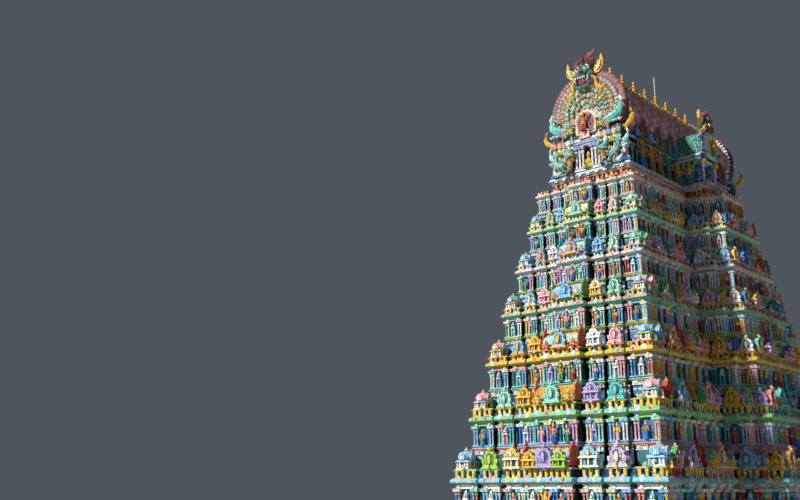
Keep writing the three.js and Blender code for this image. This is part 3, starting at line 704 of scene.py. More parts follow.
# %% Sea monster and pot finial
def monster():
    """A sea monster that climbs outwards to +X: body, open snout and a curled tail."""
    body = [(-0.5, 0, 0.12), (-0.2, -0.05, 0.1), (0.1, -0.08, 0.16), (0.32, -0.08, 0.34), (0.4, -0.05, 0.58)]
    tail = [(0.38, -0.05, 0.5), (0.42, -0.05, 0.78), (0.34, -0.05, 0.98), (0.22, -0.05, 0.92)]
    made = Carving().tube(body, (0.1, 0.16, 0.2, 0.17, 0.1), BODY, 8)
    made.tube(tail, (0.1, 0.08, 0.05, 0.015), PALE)
    for i in range(7):
        spot = (-0.3 + 0.1 * i, -0.2, 0.12 + 0.0075 * i * i)
        made.ball(*spot, 0.06, 0.05, 0.06, (TRIM, PALE, ACCENT)[i % 3])
    made.balls((-0.42, -0.14, 0.26, 0.14, 0.12, 0.12, BODY, 7, 4),
               (-0.38, -0.26, 0.3, 0.04, 0.04, 0.04, PALE))
    for i in range(4):
        fin = [(-0.1 + 0.13 * i, -0.1, 0.0), (-0.06 + 0.14 * i, -0.2, -0.1), (0.02 + 0.14 * i, -0.16, -0.02)]
        made.tube(fin, (0.06, 0.05, 0.02), (BODY, TRIM)[i % 2], 5)
    return made


def finial():
    """A pot finial: a bell foot, then rings that get smaller up to the tip."""
    profile = [(0.2, 0), (0.21, 0.04), (0.15, 0.1), (0.13, 0.2), (0.06, 0.24)]
    for i in range(4):
        foot, radius = 0.24 + 0.15 * i, 0.15 - 0.022 * i
        for share, rise in ((0.55, 0.02), (1.0, 0.05), (1.0, 0.09), (0.5, 0.13)):
            profile.append((radius * share, foot + rise))
    return Carving().turned([*profile, (0.05, 0.88), (0.045, 0.94), (0.008, 1.0)], BODY, 10)


KIT = [column, pavilion, gable, window, shrine, dome, vault, post, seated, small_figure, niche_figure,
       standing, bull, flame, feather, petal, horn, bead, curl, tile, mask, monster, finial]
kit_collection = bpy.data.collections.new("kit")
for number, carve in enumerate(KIT):
    stock = bpy.data.objects.new(f"kit_{number:02d}_{carve.__name__}", carve().mesh(carve.__name__))
    kit_collection.objects.link(stock)
    print(stock.name, triangles(stock.data), "triangles")

# %% [markdown]
# ## Setting out with Geometry Nodes
#
# A piece of the dress is some run mouldings and a cloud of points. A point knows which carving stands
# there, how it is turned and scaled, and its three coats of paint. One node tree picks the carving from the
# stock, copies it to each point, makes the copies real, adds the mouldings and gives them all their finish.

# %% The tree that sets carvings on points
tree = bpy.data.node_groups.new("set out carvings", "GeometryNodeTree")
tree.interface.new_socket("Mouldings", in_out="INPUT", socket_type="NodeSocketGeometry")
POINTS_SOCKET, STOCK_SOCKET, COAT_SOCKET = [
    tree.interface.new_socket(name, in_out="INPUT", socket_type="NodeSocket" + kind).identifier
    for name, kind in (("Points", "Object"), ("Stock", "Collection"), ("Finish", "Material"))]
tree.interface.new_socket("Dress", in_out="OUTPUT", socket_type="NodeSocketGeometry")

web = Web(tree)
given = {socket.name: Flow(web, socket) for socket in web.node("NodeGroupInput", {}, {}).outputs}


def stored(name, kind):
    return web.make("GeometryNodeInputNamedAttribute", {"data_type": kind}, {"Name": name})


copies = web.make("GeometryNodeInstanceOnPoints", {}, {
    "Points": web.make("GeometryNodeObjectInfo", {}, {"Object": given["Points"]}, "Geometry"),
    "Instance": web.make("GeometryNodeCollectionInfo", {}, {0: given["Stock"], 1: True, 2: True}),
    "Pick Instance": True,
    "Instance Index": stored("kind", "INT"),
    "Rotation": stored("turn", "FLOAT_VECTOR"),
    "Scale": stored("size", "FLOAT_VECTOR"),
})
real = web.make("GeometryNodeRealizeInstances", {}, {"Geometry": copies})
both = web.make("GeometryNodeJoinGeometry", {}, {0: [real, given["Mouldings"]]})
coated = web.make("GeometryNodeSetMaterial", {}, {"Geometry": both, "Material": given["Finish"]})
web.node("NodeGroupOutput", {}, {"Dress": coated})
print("nodes in the tree:", len(tree.nodes))

# %% [markdown]
# A `Dress` is one finished piece. Its `put` takes a carving, a place in real metres, the direction that it
# faces and its size, `on` does the same for a place on a bay, and `line` fills a bay with copies. `make`
# runs the tree once and keeps the plain mesh.

# %% Mouldings and points that become one piece
pieces = []


def store_coats(mesh, rows):
    for number, name in enumerate(COATS):
        colours = [value for coats in rows for value in coats[number]]
        mesh.attributes.new(name, "FLOAT_COLOR", "POINT").data.foreach_set("color", colours)


def drawn(rng, *coats):
    """The coats, with one drawn from each that is a list."""
    return tuple(rng.choice(coat) if isinstance(coat, list) else coat for coat in coats)


class Dress(Carving):
    def __init__(self, name):
        super().__init__()
        self.name = name
        self.rows = []

    def put(self, carve, at, facing, size, coats, tilt=0.0, roll=0.0):
        """facing is the angle of the outward normal, in radians. size is a number or (x, y, z)."""
        turn = (tilt, roll, facing + math.pi / 2)
        self.rows.append((KIT.index(carve), at, turn, triple(size), coats))

    def on(self, bay, carve, along, out, height, size, coats, tilt=0.0, roll=0.0):
        self.put(carve, bay.spot(along, out, height), bay.facing, size, coats, tilt, roll)

    def line(self, bay, carve, pitch, out, height, size, rng, *coats, tilt=0.0):
        """Copies along a bay, about one pitch apart, each with its own draw of the coats."""
        for along in bay.spread(pitch):
            self.on(bay, carve, along, out, height, size, drawn(rng, *coats), tilt)

    def cloud(self):
        """The cloud of points with what each of them knows."""
        mesh = bpy.data.meshes.new("points")
        kinds, places, turns, sizes, coats = zip(*self.rows) if self.rows else [()] * 5
        mesh.from_pydata(places, [], [])
        values = {"kind": ("INT", "value", kinds),
                  "turn": ("FLOAT_VECTOR", "vector", [v for turn in turns for v in turn]),
                  "size": ("FLOAT_VECTOR", "vector", [v * SCALE for size in sizes for v in size])}
        for name, (kind, key, data) in values.items():
            mesh.attributes.new(name, kind, "POINT").data.foreach_set(key, data)
        store_coats(mesh, coats)
        return mesh

    def make(self, slot, *replaced, material=stucco):
        mouldings = self.mesh(self.name)
        store_coats(mouldings, self.coats)
        sources = []
        for mesh in (mouldings, self.cloud()):
            mesh.transform(Matrix.Scale(SCALE, 4))
            sources.append(bpy.data.objects.new(mesh.name, mesh))
            scene.collection.objects.link(sources[-1])
        modifier = sources[0].modifiers.new("set out", "NODES")
        modifier.node_group = tree
        modifier[POINTS_SOCKET] = sources[1]
        modifier[STOCK_SOCKET] = kit_collection
        modifier[COAT_SOCKET] = material
        result = sources[0].evaluated_get(bpy.context.evaluated_depsgraph_get())
        made = bpy.data.meshes.new_from_object(result)
        for source in sources:
            bpy.data.objects.remove(source)
        made.name = self.name
        piece = bpy.data.objects.new(self.name, made)
        scene.collection.objects.link(piece)
        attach(piece, "root")
        if replaced:
            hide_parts(*replaced)
        pieces.append(piece)
        print(self.name, triangles(made), "triangles")


# %% [markdown]
# ## Bays
#
# A face is read as a row of bays: a corner bay, two bays between, and a centre bay that stands forward, with
# a narrow notch between neighbours and a deep slot beside the centre. A bay knows the middle of its front
# plane, the direction that it faces and its width, so a shrine or a column is placed with "so far along, so
# far out, so high".

# %% Bays of a storey
FACE, SLOT_DEEP = 0.2, -0.36


class Bay:
    def __init__(self, kind, x, y, facing, width):
        self.kind = kind
        self.x, self.y = x, y
        self.facing = facing
        self.width = width
        self.broad = abs(math.sin(facing)) > 0.5

    def spot(self, along, out, height):
        nx, ny = math.cos(self.facing), math.sin(self.facing)
        return (self.x - ny * along + nx * out, self.y + nx * along + ny * out, height)

    def spread(self, pitch, least=1):
        """Even places along the bay, about one pitch apart."""
        count = max(least, round(self.width / pitch))
        return [(i + 0.5 - count / 2) * self.width / count for i in range(count)]

    def runs(self, jamb):
        """The bay's whole width, or what a doorway leaves of it on both sides."""
        half = self.width / 2
        return [(-half, -jamb), (jamb, half)] if self.kind == "front" else [(-half, half)]


def looks(end):
    """The way that the east (1) or west (-1) end faces."""
    return 0.0 if end > 0 else math.pi


def bays_of(plan):
    bays = []
    gap, front = plan.notch, plan.width + FACE
    centre, slot, inner, outer = plan.end_marks
    marks = plan.flank_marks
    for end in BOTH:
        bays.append(Bay("centre", end * (plan.length + CENTRE_OUT + FACE), 0, looks(end), 2 * centre))
        for side in BOTH:
            for kind, low, high in (("inner", slot, inner - gap), ("outer", inner + gap, outer - gap),
                                    ("corner", outer + gap, front)):
                x, y = end * (plan.length + FACE), side * (low + high) / 2
                bays.append(Bay(kind, x, y, looks(end), high - low))
    for side in BOTH:
        facing = side * math.pi / 2
        near, far, deep = plan.porch * PORCH_STEP + FACE, plan.porch + FACE, PORCH_OUT - PORCH_STEP_OUT
        for end in BOTH:
            for kind, high, low, out in (("corner", plan.length + FACE, marks[1] + gap, FACE),
                                         ("outer", marks[1] - gap, marks[2] + gap, FACE),
                                         ("vault", marks[2] - gap, marks[3], FACE),
                                         ("slot", marks[3], far, SLOT_DEEP),
                                         ("return", far, far, PORCH_STEP_OUT / 2),
                                         ("step", far, near, PORCH_STEP_OUT + FACE),
                                         ("return", near, near, PORCH_OUT + FACE - deep / 2)):
                turned = kind == "return"
                width = high - low
                if turned:
                    width = PORCH_STEP_OUT if high == far else deep
                x, y = end * (low + high) / 2, side * (plan.width + out)
                bays.append(Bay(kind, x, y, looks(end) if turned else facing, width))
        bays.append(Bay("front", 0, side * (plan.width + PORCH_OUT + FACE), facing, 2 * near))
    return bays


print("bays round a storey:", len(bays_of(plans[1])))

# %% [markdown]
# ## Mouldings that run round the tower
#
# Cornices, sills and kerbs follow the bays through every notch and slot. The outline is a function of how
# far a moulding stands out, so a moulding is a stack of outlines, one for each level of its section. It is
# run as an east and a west half, and above the door's foot the halves leave the doorway open.

# %% Outlines of a storey
WALL_THICK = 0.5
# How far a moulding may stand back in a notch, and the share of the notch that it may fill.
NOTCH_BACK, NOTCH_FILL = -0.06, 0.6


def quarter(plan, out, jamb):
    """From the middle of an end face round the corner to the door. Deep points have a third value."""
    length, width = plan.length, plan.width
    front, side = FACE + out, max(NOTCH_BACK, min(out, NOTCH_FILL * plan.notch))
    half = plan.notch - side
    centre, slot, inner, outer = plan.end_marks
    marks = plan.flank_marks
    points = [(length + CENTRE_OUT + front, centre + side), (length + SLOT_DEEP, centre + side, True),
              (length + SLOT_DEEP, slot - side, True), (length + front, slot - side)]
    for middle in (inner, outer):
        points += [(length + front, middle - half), (length, middle - half, True),
                   (length, middle + half, True), (length + front, middle + half)]
    points.append((length + front, width + front))
    for middle in marks[1:3]:
        points += [(middle + half, width + front), (middle + half, width, True),
                   (middle - half, width, True), (middle - half, width + front)]
    near, far = plan.porch * PORCH_STEP + front, plan.porch + front
    step, porch = width + PORCH_STEP_OUT + front, width + PORCH_OUT + front
    return [*points, (marks[3] - side, width + front), (marks[3] - side, width + SLOT_DEEP, True),
            (far, width + SLOT_DEEP, True), (far, step), (near, step), (near, porch), (jamb, porch)]


def half_ring(plan, out, end, jamb, hollow):
    """The outline of the east (1) or west (-1) half, hollow as the wall behind it is, or solid as a floor."""
    ahead = quarter(plan, out, jamb)
    points = [(x, -y, *deep) for x, y, *deep in ahead[::-1]] + ahead
    if hollow:
        x, y = plan.length - WALL_THICK, plan.width - WALL_THICK
        points += [(jamb, y), (x, y), (x, -y), (jamb, -y)]
    return points if end > 0 else [(-x, y, *deep) for x, y, *deep in points[::-1]]


def belt(dress, plan, coats, section, base, height, jamb=0.0, hollow=True):
    """Runs a moulding. section is (out in metres, level as a share of the storey, tone)."""
    dress.coat = coats
    levels = [(out, base + share * height, tone) for out, share, tone in section]
    for end in (1, -1):
        dress.run(lambda out, end=end: half_ring(plan, out, end, jamb, hollow), levels)


print("points in a half outline:", len(half_ring(plans[1], 0.0, 1, DOOR_HALF[0], True)))


# %% [markdown]
# ## The colour book of the storeys
#
# Each storey was painted to its own scheme. A row gives, for the cornice, its roll and edge, the posts over
# it, the shrines, the vaults and their ends, and for the wall above it the band behind the shrines, the
# arches on the band, the sill, the entablature and the small and big figures.

# %% Colour book
PARTS = "roll edge posts gables vault ends band arches sill entab small big".split()
SCHEMES = [dict(zip(PARTS, row)) for row in (
    (SEA, GOLD, GOLD, [GOLD, LIME, LILAC, SALMON], SKY, RED, SEA, PINK,
     (SALMON, CREAM, WHITE), WHITE, [PINK, GOLD], [GOLD]),
    (MINT, PINK, GOLD, [SKY, GOLD, MINT, PINK], SALMON, MAROON, LIME, CREAM,
     (PINK, WHITE, TEAL), SKY, [SALMON, LILAC], [GOLD, SALMON]),
    (LIME, MINT, TEAL, [PINK, SKY, GOLD, MINT], GOLD, RED, SKY, CREAM,
     (LILAC, WHITE, WHITE), WHITE, [GOLD, PINK], [GOLD]),
    (SKY, SEA, GOLD, [GOLD, LIME, SKY, LILAC], SKY, RED, WHITE, PINK,
     (SALMON, SKY, SKY), LIME, [LILAC, PINK], [GOLD]),
    (SEA, LIME, GOLD, [MINT, LILAC, SEA, GOLD], OCHRE, ORANGE, LIME, CREAM,
     (MINT, TEAL, MINT), PINK, [SALMON, PINK], [GOLD]),
    (LIME, GOLD, ORANGE, [GOLD, SKY, WHITE, PINK], MINT, RED, MINT, GREEN,
     (GOLD, MINT, MINT), SKY, [PINK, SALMON], [SALMON, GOLD]),
    (SALMON, SEA, GOLD, [MINT, PINK, SKY, WHITE], SKY, GREEN, SKY, CREAM,
     (LIME, MINT, PINK), SKY, [PINK, GOLD], [CREAM, SALMON]),
    (MINT, PINK, SKY, [SKY, MINT, WHITE, LILAC], MINT, TEAL, LIME, CREAM,
     (CREAM, MINT, SKY), MINT, [SALMON, WHITE], [CREAM, PINK]),
    (LIME, MINT, GOLD, [MINT, PINK, CREAM, SKY], CREAM, GREEN, SKY, MINT,
     (MINT, CREAM, PINK), MINT, [WHITE, PINK], [CREAM, GOLD]),
    (MINT, PINK, ORANGE, [SALMON, MINT, CREAM], CREAM, GOLD, MINT, PINK,
     (WHITE, MINT, SKY), PINK, [ORANGE, SALMON], [GOLD]),
)]
NICHES = [WHITE, SKY, MINT, SKY, LILAC, WHITE, GOLD, PINK]
BACKING = paints("31708c 4474a8 2c7a80")
print("schemes:", len(SCHEMES), "with", len(PARTS), "parts each")


def coats_of(storey, rng, broad=False):
    """Three coats for a column or a pavilion. Higher storeys are paler, and the broad faces get stronger,
    deeper colours as painted shade, standing for the shade on the broad face.
    """
    pale = (0.25 + 0.6 * storey / STOREYS) * (0.4 if broad else 1.0)
    return drawn(rng, PASTELS if rng.random() < pale else STRONG, [WHITE, CREAM, PINK, SKY, MINT], ACCENTS)


# %% [markdown]
# ## Cornices
#
# The cornice of each storey is a thin roll, like the edge of a thatched roof, with small horseshoe windows
# along it. Above it runs a row of short posts, with the band behind them painted dark as the shade in their
# gaps. The roll is a moulding that closes the storey as a floor, and the windows and posts are set out
# along the bays.

# %% Cornice of one storey
# Pitches and levels are shares of the storey's height. One post in five is gold.
WINDOW_PITCH, POST_PITCH, POST_FOOT = 0.19, 0.095, 0.045
WINDOW_TILT, ROLL_OVERHANG, PLAIN_POSTS = -0.35, 0.09, 0.8


def post_head(storey):
    """The posts of the lowest storeys are taller."""
    return 0.15 if storey < 5 else 0.12


def cornice(storey):
    plan, height, base, scheme = plans[storey], storey_height(storey), lips[storey], SCHEMES[storey]
    rng = random.Random(100 + storey)
    lip, head = plan.lip - FACE + ROLL_OVERHANG, post_head(storey)
    name = f"storey_{storey}_cornice" if storey else "gate_cornice"
    dress = Dress(name + "_dress")
    # The top level of the section, behind the posts, is DARK: painted shade in the gaps between them.
    belt(dress, plan, (scheme["roll"], scheme["edge"], scheme["sill"][0]), [
        (-0.12, -0.05, ACCENT), (0.35 * lip, -0.05, ACCENT), (0.35 * lip, -0.036, ACCENT),
        (0.85 * lip, -0.03, TRIM), (lip, -0.022, TRIM), (lip, -0.006, TRIM), (0.9 * lip, 0.014, BODY),
        (0.65 * lip, 0.03, BODY), (0.25 * lip, 0.04, BODY), (0.25 * lip, POST_FOOT, TRIM),
        (-0.12, POST_FOOT, TRIM), (-0.12, head, DARK)], base, height, hollow=False)
    for bay in bays_of(plan):
        dress.line(bay, window, WINDOW_PITCH * height, 0.8 * lip, base - 0.028 * height, 0.11 * height,
                   rng, scheme["gables"], [WHITE, PINK, GOLD, RED], ACCENTS, tilt=WINDOW_TILT)
        posts = rng.choice([scheme["posts"], OCHRE, SALMON, TEAL, RED]) if bay.broad else scheme["posts"]
        for along in bay.spread(POST_PITCH * height, 2):
            coats = (posts if rng.random() < PLAIN_POSTS else GOLD, WHITE, RED)
            size = (0.04 * height, 0.14, (head - POST_FOOT) * height)
            dress.on(bay, post, along, -0.04, base + POST_FOOT * height, size, coats)
    dress.make("cornice_stucco" if storey else "granite", name)


for storey in range(STOREYS + 1):
    cornice(storey)

# %% [markdown]
# ## The parapet of shrines
#
# On each cornice stands a row of small shrines, the model of a temple's own roofs: a domed one on each
# corner, a gabled front on each narrow bay, a vault with a great horseshoe gable on the wide bays, and
# figures between them. Plain windows stand behind the row and little figures along its kerb. The row hides
# the foot of the next wall.

# %% One parapet and what stands on it
KERB, SHRINE_RISE, RECESS_SHADE = 0.022, 0.345, 0.25


class Parapet(Dress):
    def __init__(self, storey):
        self.title = f"storey_{storey}_parapet" if storey else "gate_parapet"
        super().__init__(self.title + "_dress")
        self.plan, self.scheme, self.turn = plans[storey], SCHEMES[storey], storey
        self.rng = random.Random(200 + storey)
        height, head = storey_height(storey), post_head(storey)
        self.foot, self.kerb_foot = lips[storey] + (head + KERB) * height, lips[storey] + head * height
        self.tall = SHRINE_RISE * height
        belt(self, self.plan, (self.scheme["sill"][1], self.scheme["edge"], self.scheme["posts"]), [
            (0.0, head, TRIM), (0.06, head, TRIM), (0.06, head + 0.5 * KERB, TRIM),
            (0.02, head + 0.5 * KERB, ACCENT), (0.02, head + KERB, ACCENT), (-0.3, head + KERB, ACCENT)],
            lips[storey], height)

    def person(self, bay, along, out, share, carve=seated):
        coats = drawn(self.rng, self.scheme["big"], [PINK, GREEN, RED, SKY], GOLD)
        self.on(bay, carve, along, out, self.foot, share * self.tall, coats)

    def front(self, bay, along, out, size, carve=gable):
        """A gable or shrine in the next colour, with the same colour darkened in its recess as painted shade.
        """
        # The broad faces take the stronger shrine colours: painted shade, deeper colours that stand for the
        # shade on the broad face.
        palette = SHRINE_COATS if bay.broad else self.scheme["gables"]
        body = palette[self.turn % len(palette)]
        recess = (*(RECESS_SHADE * channel for channel in body[:3]), 1.0)
        coats = drawn(self.rng, body, [body, body, body, CREAM, PINK, GOLD], recess)
        self.on(bay, carve, along, out, self.foot, size, coats)
        self.turn += 1

    def backdrop(self, bay):
        """The windows behind the shrines and the little figures on the kerb."""
        tall, scheme = self.tall, self.scheme
        if bay.kind not in ("slot", "corner"):
            behind = [WHITE, SKY, MINT, CREAM, LILAC, scheme["arches"], scheme["vault"]]
            size = (0.5 * tall, 0.6 * tall, 0.64 * tall)
            self.line(bay, window, 0.6 * tall, -0.3, self.foot, size, self.rng, behind, DEEP, GOLD)
        self.line(bay, small_figure, 0.85 * tall, 0.1, self.kerb_foot, 0.27 * tall,
                  self.rng, scheme["big"] + scheme["small"], [GOLD, PINK, SKY, GREEN], GOLD)

    def corner(self, bay):
        """A domed shrine that both faces share, and a front where the bay has room for one."""
        tall = self.tall
        size = min(0.98 * bay.width, 0.85 * tall)
        if not bay.broad:
            inset = 0.46 * size
            spot = (math.copysign(self.plan.length + FACE - inset, bay.x),
                    math.copysign(self.plan.width + FACE - inset, bay.y), self.foot)
            coats = drawn(self.rng, [SEA, MINT, SKY, PINK], [WHITE, CREAM], self.scheme["roll"])
            self.put(dome, spot, bay.facing, (size, size, tall), coats)
        if bay.width > 1.45 * size:
            across = math.copysign(1, bay.x * math.sin(bay.facing) - bay.y * math.cos(bay.facing))
            room = bay.width - size
            self.front(bay, across * size / 2, -0.2, (min(tall, 1.1 * room), 0.7 * tall, 0.9 * tall), shrine)

    def beside_door(self, bay):
        tall = self.tall
        room = bay.width / 2 - self.plan.door - 0.2 * tall
        count = max(1, round(room / (1.05 * tall)))
        for side in BOTH:
            for i in range(count):
                along = side * (bay.width / 2 - room * (i + 0.5) / count)
                self.front(bay, along, -0.05, 0.95 * tall, shrine if i % 3 == 1 else gable)
                self.person(bay, along - side * 0.5 * room / count, 0.06, 0.45, small_figure)

    def wide(self, bay):
        """A vault with a great gable before it and one on each end."""
        tall, scheme = self.tall, self.scheme
        length, deep = 0.94 * bay.width, 0.8 * tall
        coats = (scheme["vault"], scheme["posts"], scheme["roll"])
        self.on(bay, vault, 0, -0.42 * deep, self.foot, (length, deep, 0.84 * tall), coats)
        self.front(bay, 0, 0.02, 1.05 * tall)
        roomy = length > 2.2 * tall
        for side in BOTH:
            if roomy:
                self.front(bay, side * 0.33 * length, 0.0, 0.78 * tall, shrine)
            spot = bay.spot(side * length / 2, -0.42 * deep, self.foot + 0.1 * tall)
            size = (0.95 * tall, 0.4 * tall, 1.05 * tall)
            coats = (scheme["ends"], scheme["ends"], OCHRE)
            self.put(gable, spot, bay.facing + side * math.pi / 2, size, coats)
            self.person(bay, side * (0.2 if roomy else 0.38) * length, 0.04, 0.5)

    def fill(self):
        for bay in bays_of(self.plan):
            self.backdrop(bay)
            if bay.kind == "corner":
                self.corner(bay)
            elif bay.kind == "slot":
                self.person(bay, 0, -0.12, 0.8, niche_figure)
            elif bay.kind in ("return", "step"):
                self.front(bay, 0, -0.1, min(0.95 * self.tall, 1.2 * bay.width))
            elif bay.kind == "front":
                self.beside_door(bay)
            elif bay.width < 1.7 * self.tall:
                size = (min(1.15 * self.tall, bay.width / 0.86), 0.85 * self.tall, self.tall)
                self.front(bay, 0, -0.12, size, gable if bay.kind != "inner" else shrine)
            else:
                self.wide(bay)
        self.make("parapet_stucco", self.title)


for storey in range(STOREYS):
    Parapet(storey).fill()

# %% [markdown]
# ## Walls: band, sill, columns and entablature
#
# Above the shrines the wall shows a painted band with a row of little arches and figures, then a sill of
# three lines, and on the sill the order of columns with small pavilions between them. Little arches stand
# on the entablature over the columns. The wall behind is painted dark, so the columns read as a row.

# %% Mouldings of one storey's wall
SILL_FOOT, COLUMN_FOOT, COLUMN_HEAD, WALL_HEAD = 0.495, 0.572, 0.888, 0.955
JAMB_OUT, BAND_PITCH = 0.1, 0.14


def wall_mouldings(storey, plan, scheme, base, height, jamb):
    ground = Dress(f"storey_{storey}_mouldings")
    belt(ground, plan, (BACKING[(storey + 1) % 3], WHITE, SHADE),
         [(-0.1, post_head(storey - 1), BODY), (-0.1, DOOR_FOOT, BODY)], base, height)
    for coats, section in (
            ((scheme["band"], WHITE, scheme["sill"][0]),
             [(-0.06, DOOR_FOOT, BODY), (-0.02, 0.425, TRIM), (-0.02, 0.433, TRIM), (-0.08, 0.438, BODY),
              (-0.08, SILL_FOOT - 0.01, BODY), (0.0, SILL_FOOT, ACCENT), (0.02, 0.51, ACCENT)]),
            (scheme["sill"],
             [(0.02, 0.51, BODY), (0.07, 0.517, BODY), (0.07, 0.532, BODY), (-0.03, 0.536, TRIM),
              (-0.03, 0.55, TRIM), (0.03, 0.554, ACCENT), (0.03, COLUMN_FOOT, ACCENT),
              (-0.17, COLUMN_FOOT, ACCENT)]),
            ((BACKING[storey % 3], NAVY, SHADE), [(-0.18, COLUMN_FOOT, BODY), (-0.18, COLUMN_HEAD, BODY)]),
            ((scheme["entab"], scheme["edge"], scheme["sill"][1]),
             [(-0.08, COLUMN_HEAD, TRIM), (-0.02, COLUMN_HEAD, TRIM), (-0.02, 0.905, BODY),
              (-0.08, 0.91, BODY), (-0.08, 0.935, BODY), (-0.03, 0.94, ACCENT), (-0.03, WALL_HEAD, ACCENT)])):
        belt(ground, plan, coats, section, base, height, jamb)
    ground.make("wall_stucco")


# %% Columns, pavilions and figures of one storey's wall
# Lengths along the order as shares of a column's height, and the share of cells with a figure.
CELL, PAIR, MARGIN, FIGURES = 0.72, 0.09, 0.14, 0.35


def order_of(bay, run, storey, row, order, rng, foot, tall):
    """Pairs of columns along one run, with a pavilion or a figure in each cell between them."""
    low, high = run[0] + MARGIN * tall, run[1] - MARGIN * tall
    cells = max(1, round((high - low) / (CELL * tall)))
    room = (high - low) / cells
    for i in range(cells + 1):
        coats = coats_of(storey, rng, bay.broad)
        for shift in (-PAIR, PAIR):
            size = (1.15 * tall, 1.2 * tall, tall)
            order.on(bay, column, low + room * i + shift * tall, -0.08, foot, size, coats)
    for i in range(cells):
        along = low + room * (i + 0.5)
        middle = bay.kind == "centre" and 2 * i + 1 in (cells, cells + 1)
        if middle or rng.random() < FIGURES:
            coats = drawn(rng, [GOLD, OCHRE, SALMON, PINK], [RED, BLUE, GREEN, PINK], GOLD)
            carve, share = (standing, 0.97) if middle else (niche_figure, 0.84)
            row.on(bay, carve, along, -0.04, foot, share * tall, coats)
        else:
            wide = min(0.8, max(0.4, (room / tall - 0.3) / 0.4)) * tall
            # The broad faces' pavilions get strong colours too, as painted shade.
            coats = coats_of(storey, rng, True) if bay.broad else drawn(rng, NICHES, WHITE, DEEP)
            order.on(bay, pavilion, along, -0.1, foot, (wide, tall, 0.96 * tall), coats)


def little_row(bay, row, scheme, rng, base, height, jamb):
    """Small figures and arches in turn along the band, and arches on the entablature."""
    for number, along in enumerate(bay.spread(BAND_PITCH * height)):
        if bay.kind == "front" and abs(along) < jamb + 0.1:
            continue
        if number % 2:
            coats = drawn(rng, scheme["small"], [WHITE, SKY, MINT], ACCENTS)
            row.on(bay, small_figure, along, -0.06, base + 0.415 * height, 0.1 * height, coats)
        else:
            coats = drawn(rng, scheme["arches"], [WHITE, SKY, PINK], [MAROON, BLUE, TEAL])
            size = (0.11 * height, 0.075 * height, 0.075 * height)
            row.on(bay, window, along, -0.06, base + 0.435 * height, size, coats)
            coats = drawn(rng, scheme["edge"], [WHITE, CREAM], ACCENTS)
            row.on(bay, window, along, -0.03, base + 0.893 * height, 0.062 * height, coats)


def wall_dress(storey):
    plan, scheme = plans[storey], SCHEMES[storey - 1]
    height, base = storey_height(storey), lips[storey - 1]
    rng = random.Random(300 + storey)
    jamb = plan.door + JAMB_OUT
    wall_mouldings(storey, plan, scheme, base, height, jamb)
    row, order = Dress(f"storey_{storey}_figures"), Dress(f"storey_{storey}_columns")
    foot, tall = base + COLUMN_FOOT * height, (COLUMN_HEAD - COLUMN_FOOT) * height
    for bay in bays_of(plan):
        for run in bay.runs(jamb):
            order_of(bay, run, storey, row, order, rng, foot, tall)
        little_row(bay, row, scheme, rng, base, height, jamb)
        if bay.kind == "front":
            for side in BOTH:
                coats = drawn(rng, OCHRE, [RED, BLUE, GREEN], GOLD)
                along = side * (jamb + 0.3 * tall)
                row.on(bay, standing, along, 0.12, foot - 0.02 * height, 1.08 * tall, coats)
    row.make("wall_stucco")
    order.make("wall_stucco")


for storey in range(1, STOREYS + 1):
    wall_dress(storey)

# %% [markdown]
# ## The crown's platform and neck
#
# On the top storey stands a narrow platform in the shape of a cross, and on it the neck: a low wall of
# columns that carries the barrel roof. Large figures stand along it, and a bull lies on every corner.

# %% Kerb and platform of the crown
PLATFORM_HALF, PLATFORM_WIDTH, PLATFORM_PORCH, PLATFORM_OUT = 8.45, 2.8, 1.15, 1.9
PLATFORM_FOOT, PLATFORM_TOP, NECK_FOOT, NECK_TOP = 40.9, 41.4, 41.55, 43.55
NECK_HALF, NECK_WIDTH, PORCH_LIP = 7.8, 2.2, 2.6
END_PORCH_HALF, END_PORCH_OUT, END_PORCH_TOP = 1.35, 0.6, 43.9
DORMER_HALF, DORMER_CROWN = 1.15, 45.2
KERB_WALL, KERB_BACK = 0.8, 0.1


def cross(out):
    x, y, porch, far = PLATFORM_HALF + out, PLATFORM_WIDTH + out, PLATFORM_PORCH + out, PLATFORM_OUT
    corner = [(x, y), (porch, y), (porch, y + far)]
    back = corner[::-1]
    return [*corner, *[(-a, b) for a, b in back], *[(-a, -b) for a, b in corner], *[(a, -b) for a, b in back]]


def frame_of(x, y, wall):
    """A hollow rectangle as one closed outline, the east (1) and west (-1) halves in turn."""
    points = [(0, -y), (x, -y), (x, y), (0, y), (0, y - wall), (x - wall, y - wall), (x - wall, wall - y),
              (0, wall - y)]
    return points, [(-a, b) for a, b in points[::-1]]


def straights(x, y, porch, far):
    """The straight sides of the cross, as bays."""
    found = []
    for end in BOTH:
        found.append(Bay("end", end * x, 0, looks(end), 2 * y))
        for side in BOTH:
            facing = side * math.pi / 2
            found.append(Bay("side", end * (x + porch) / 2, side * y, facing, x - porch))
            found.append(Bay("cheek", end * porch, side * (y + far / 2), looks(end), far))
    return found + [Bay("porch", 0, side * (y + far), side * math.pi / 2, 2 * porch) for side in BOTH]


kerb_foot = lips[STOREYS] + post_head(STOREYS) * storey_height(STOREYS)
kerb = (kerb_foot, PLATFORM_FOOT)
stage = Dress("crown_platform_dress")
stage.coat = (SALMON, WHITE, SKY)
stage.run(cross, [(0.0, PLATFORM_FOOT, BODY), (0.12, 40.93, TRIM), (0.12, 41.0, TRIM), (0.2, 41.02, BODY),
                  (0.24, 41.12, BODY), (0.3, 41.14, ACCENT), (0.3, 41.22, ACCENT), (0.22, 41.25, TRIM),
                  (0.22, 41.32, TRIM), (0.1, 41.34, BODY), (0.1, PLATFORM_TOP, BODY)])
wall = Dress("crown_kerb_dress")
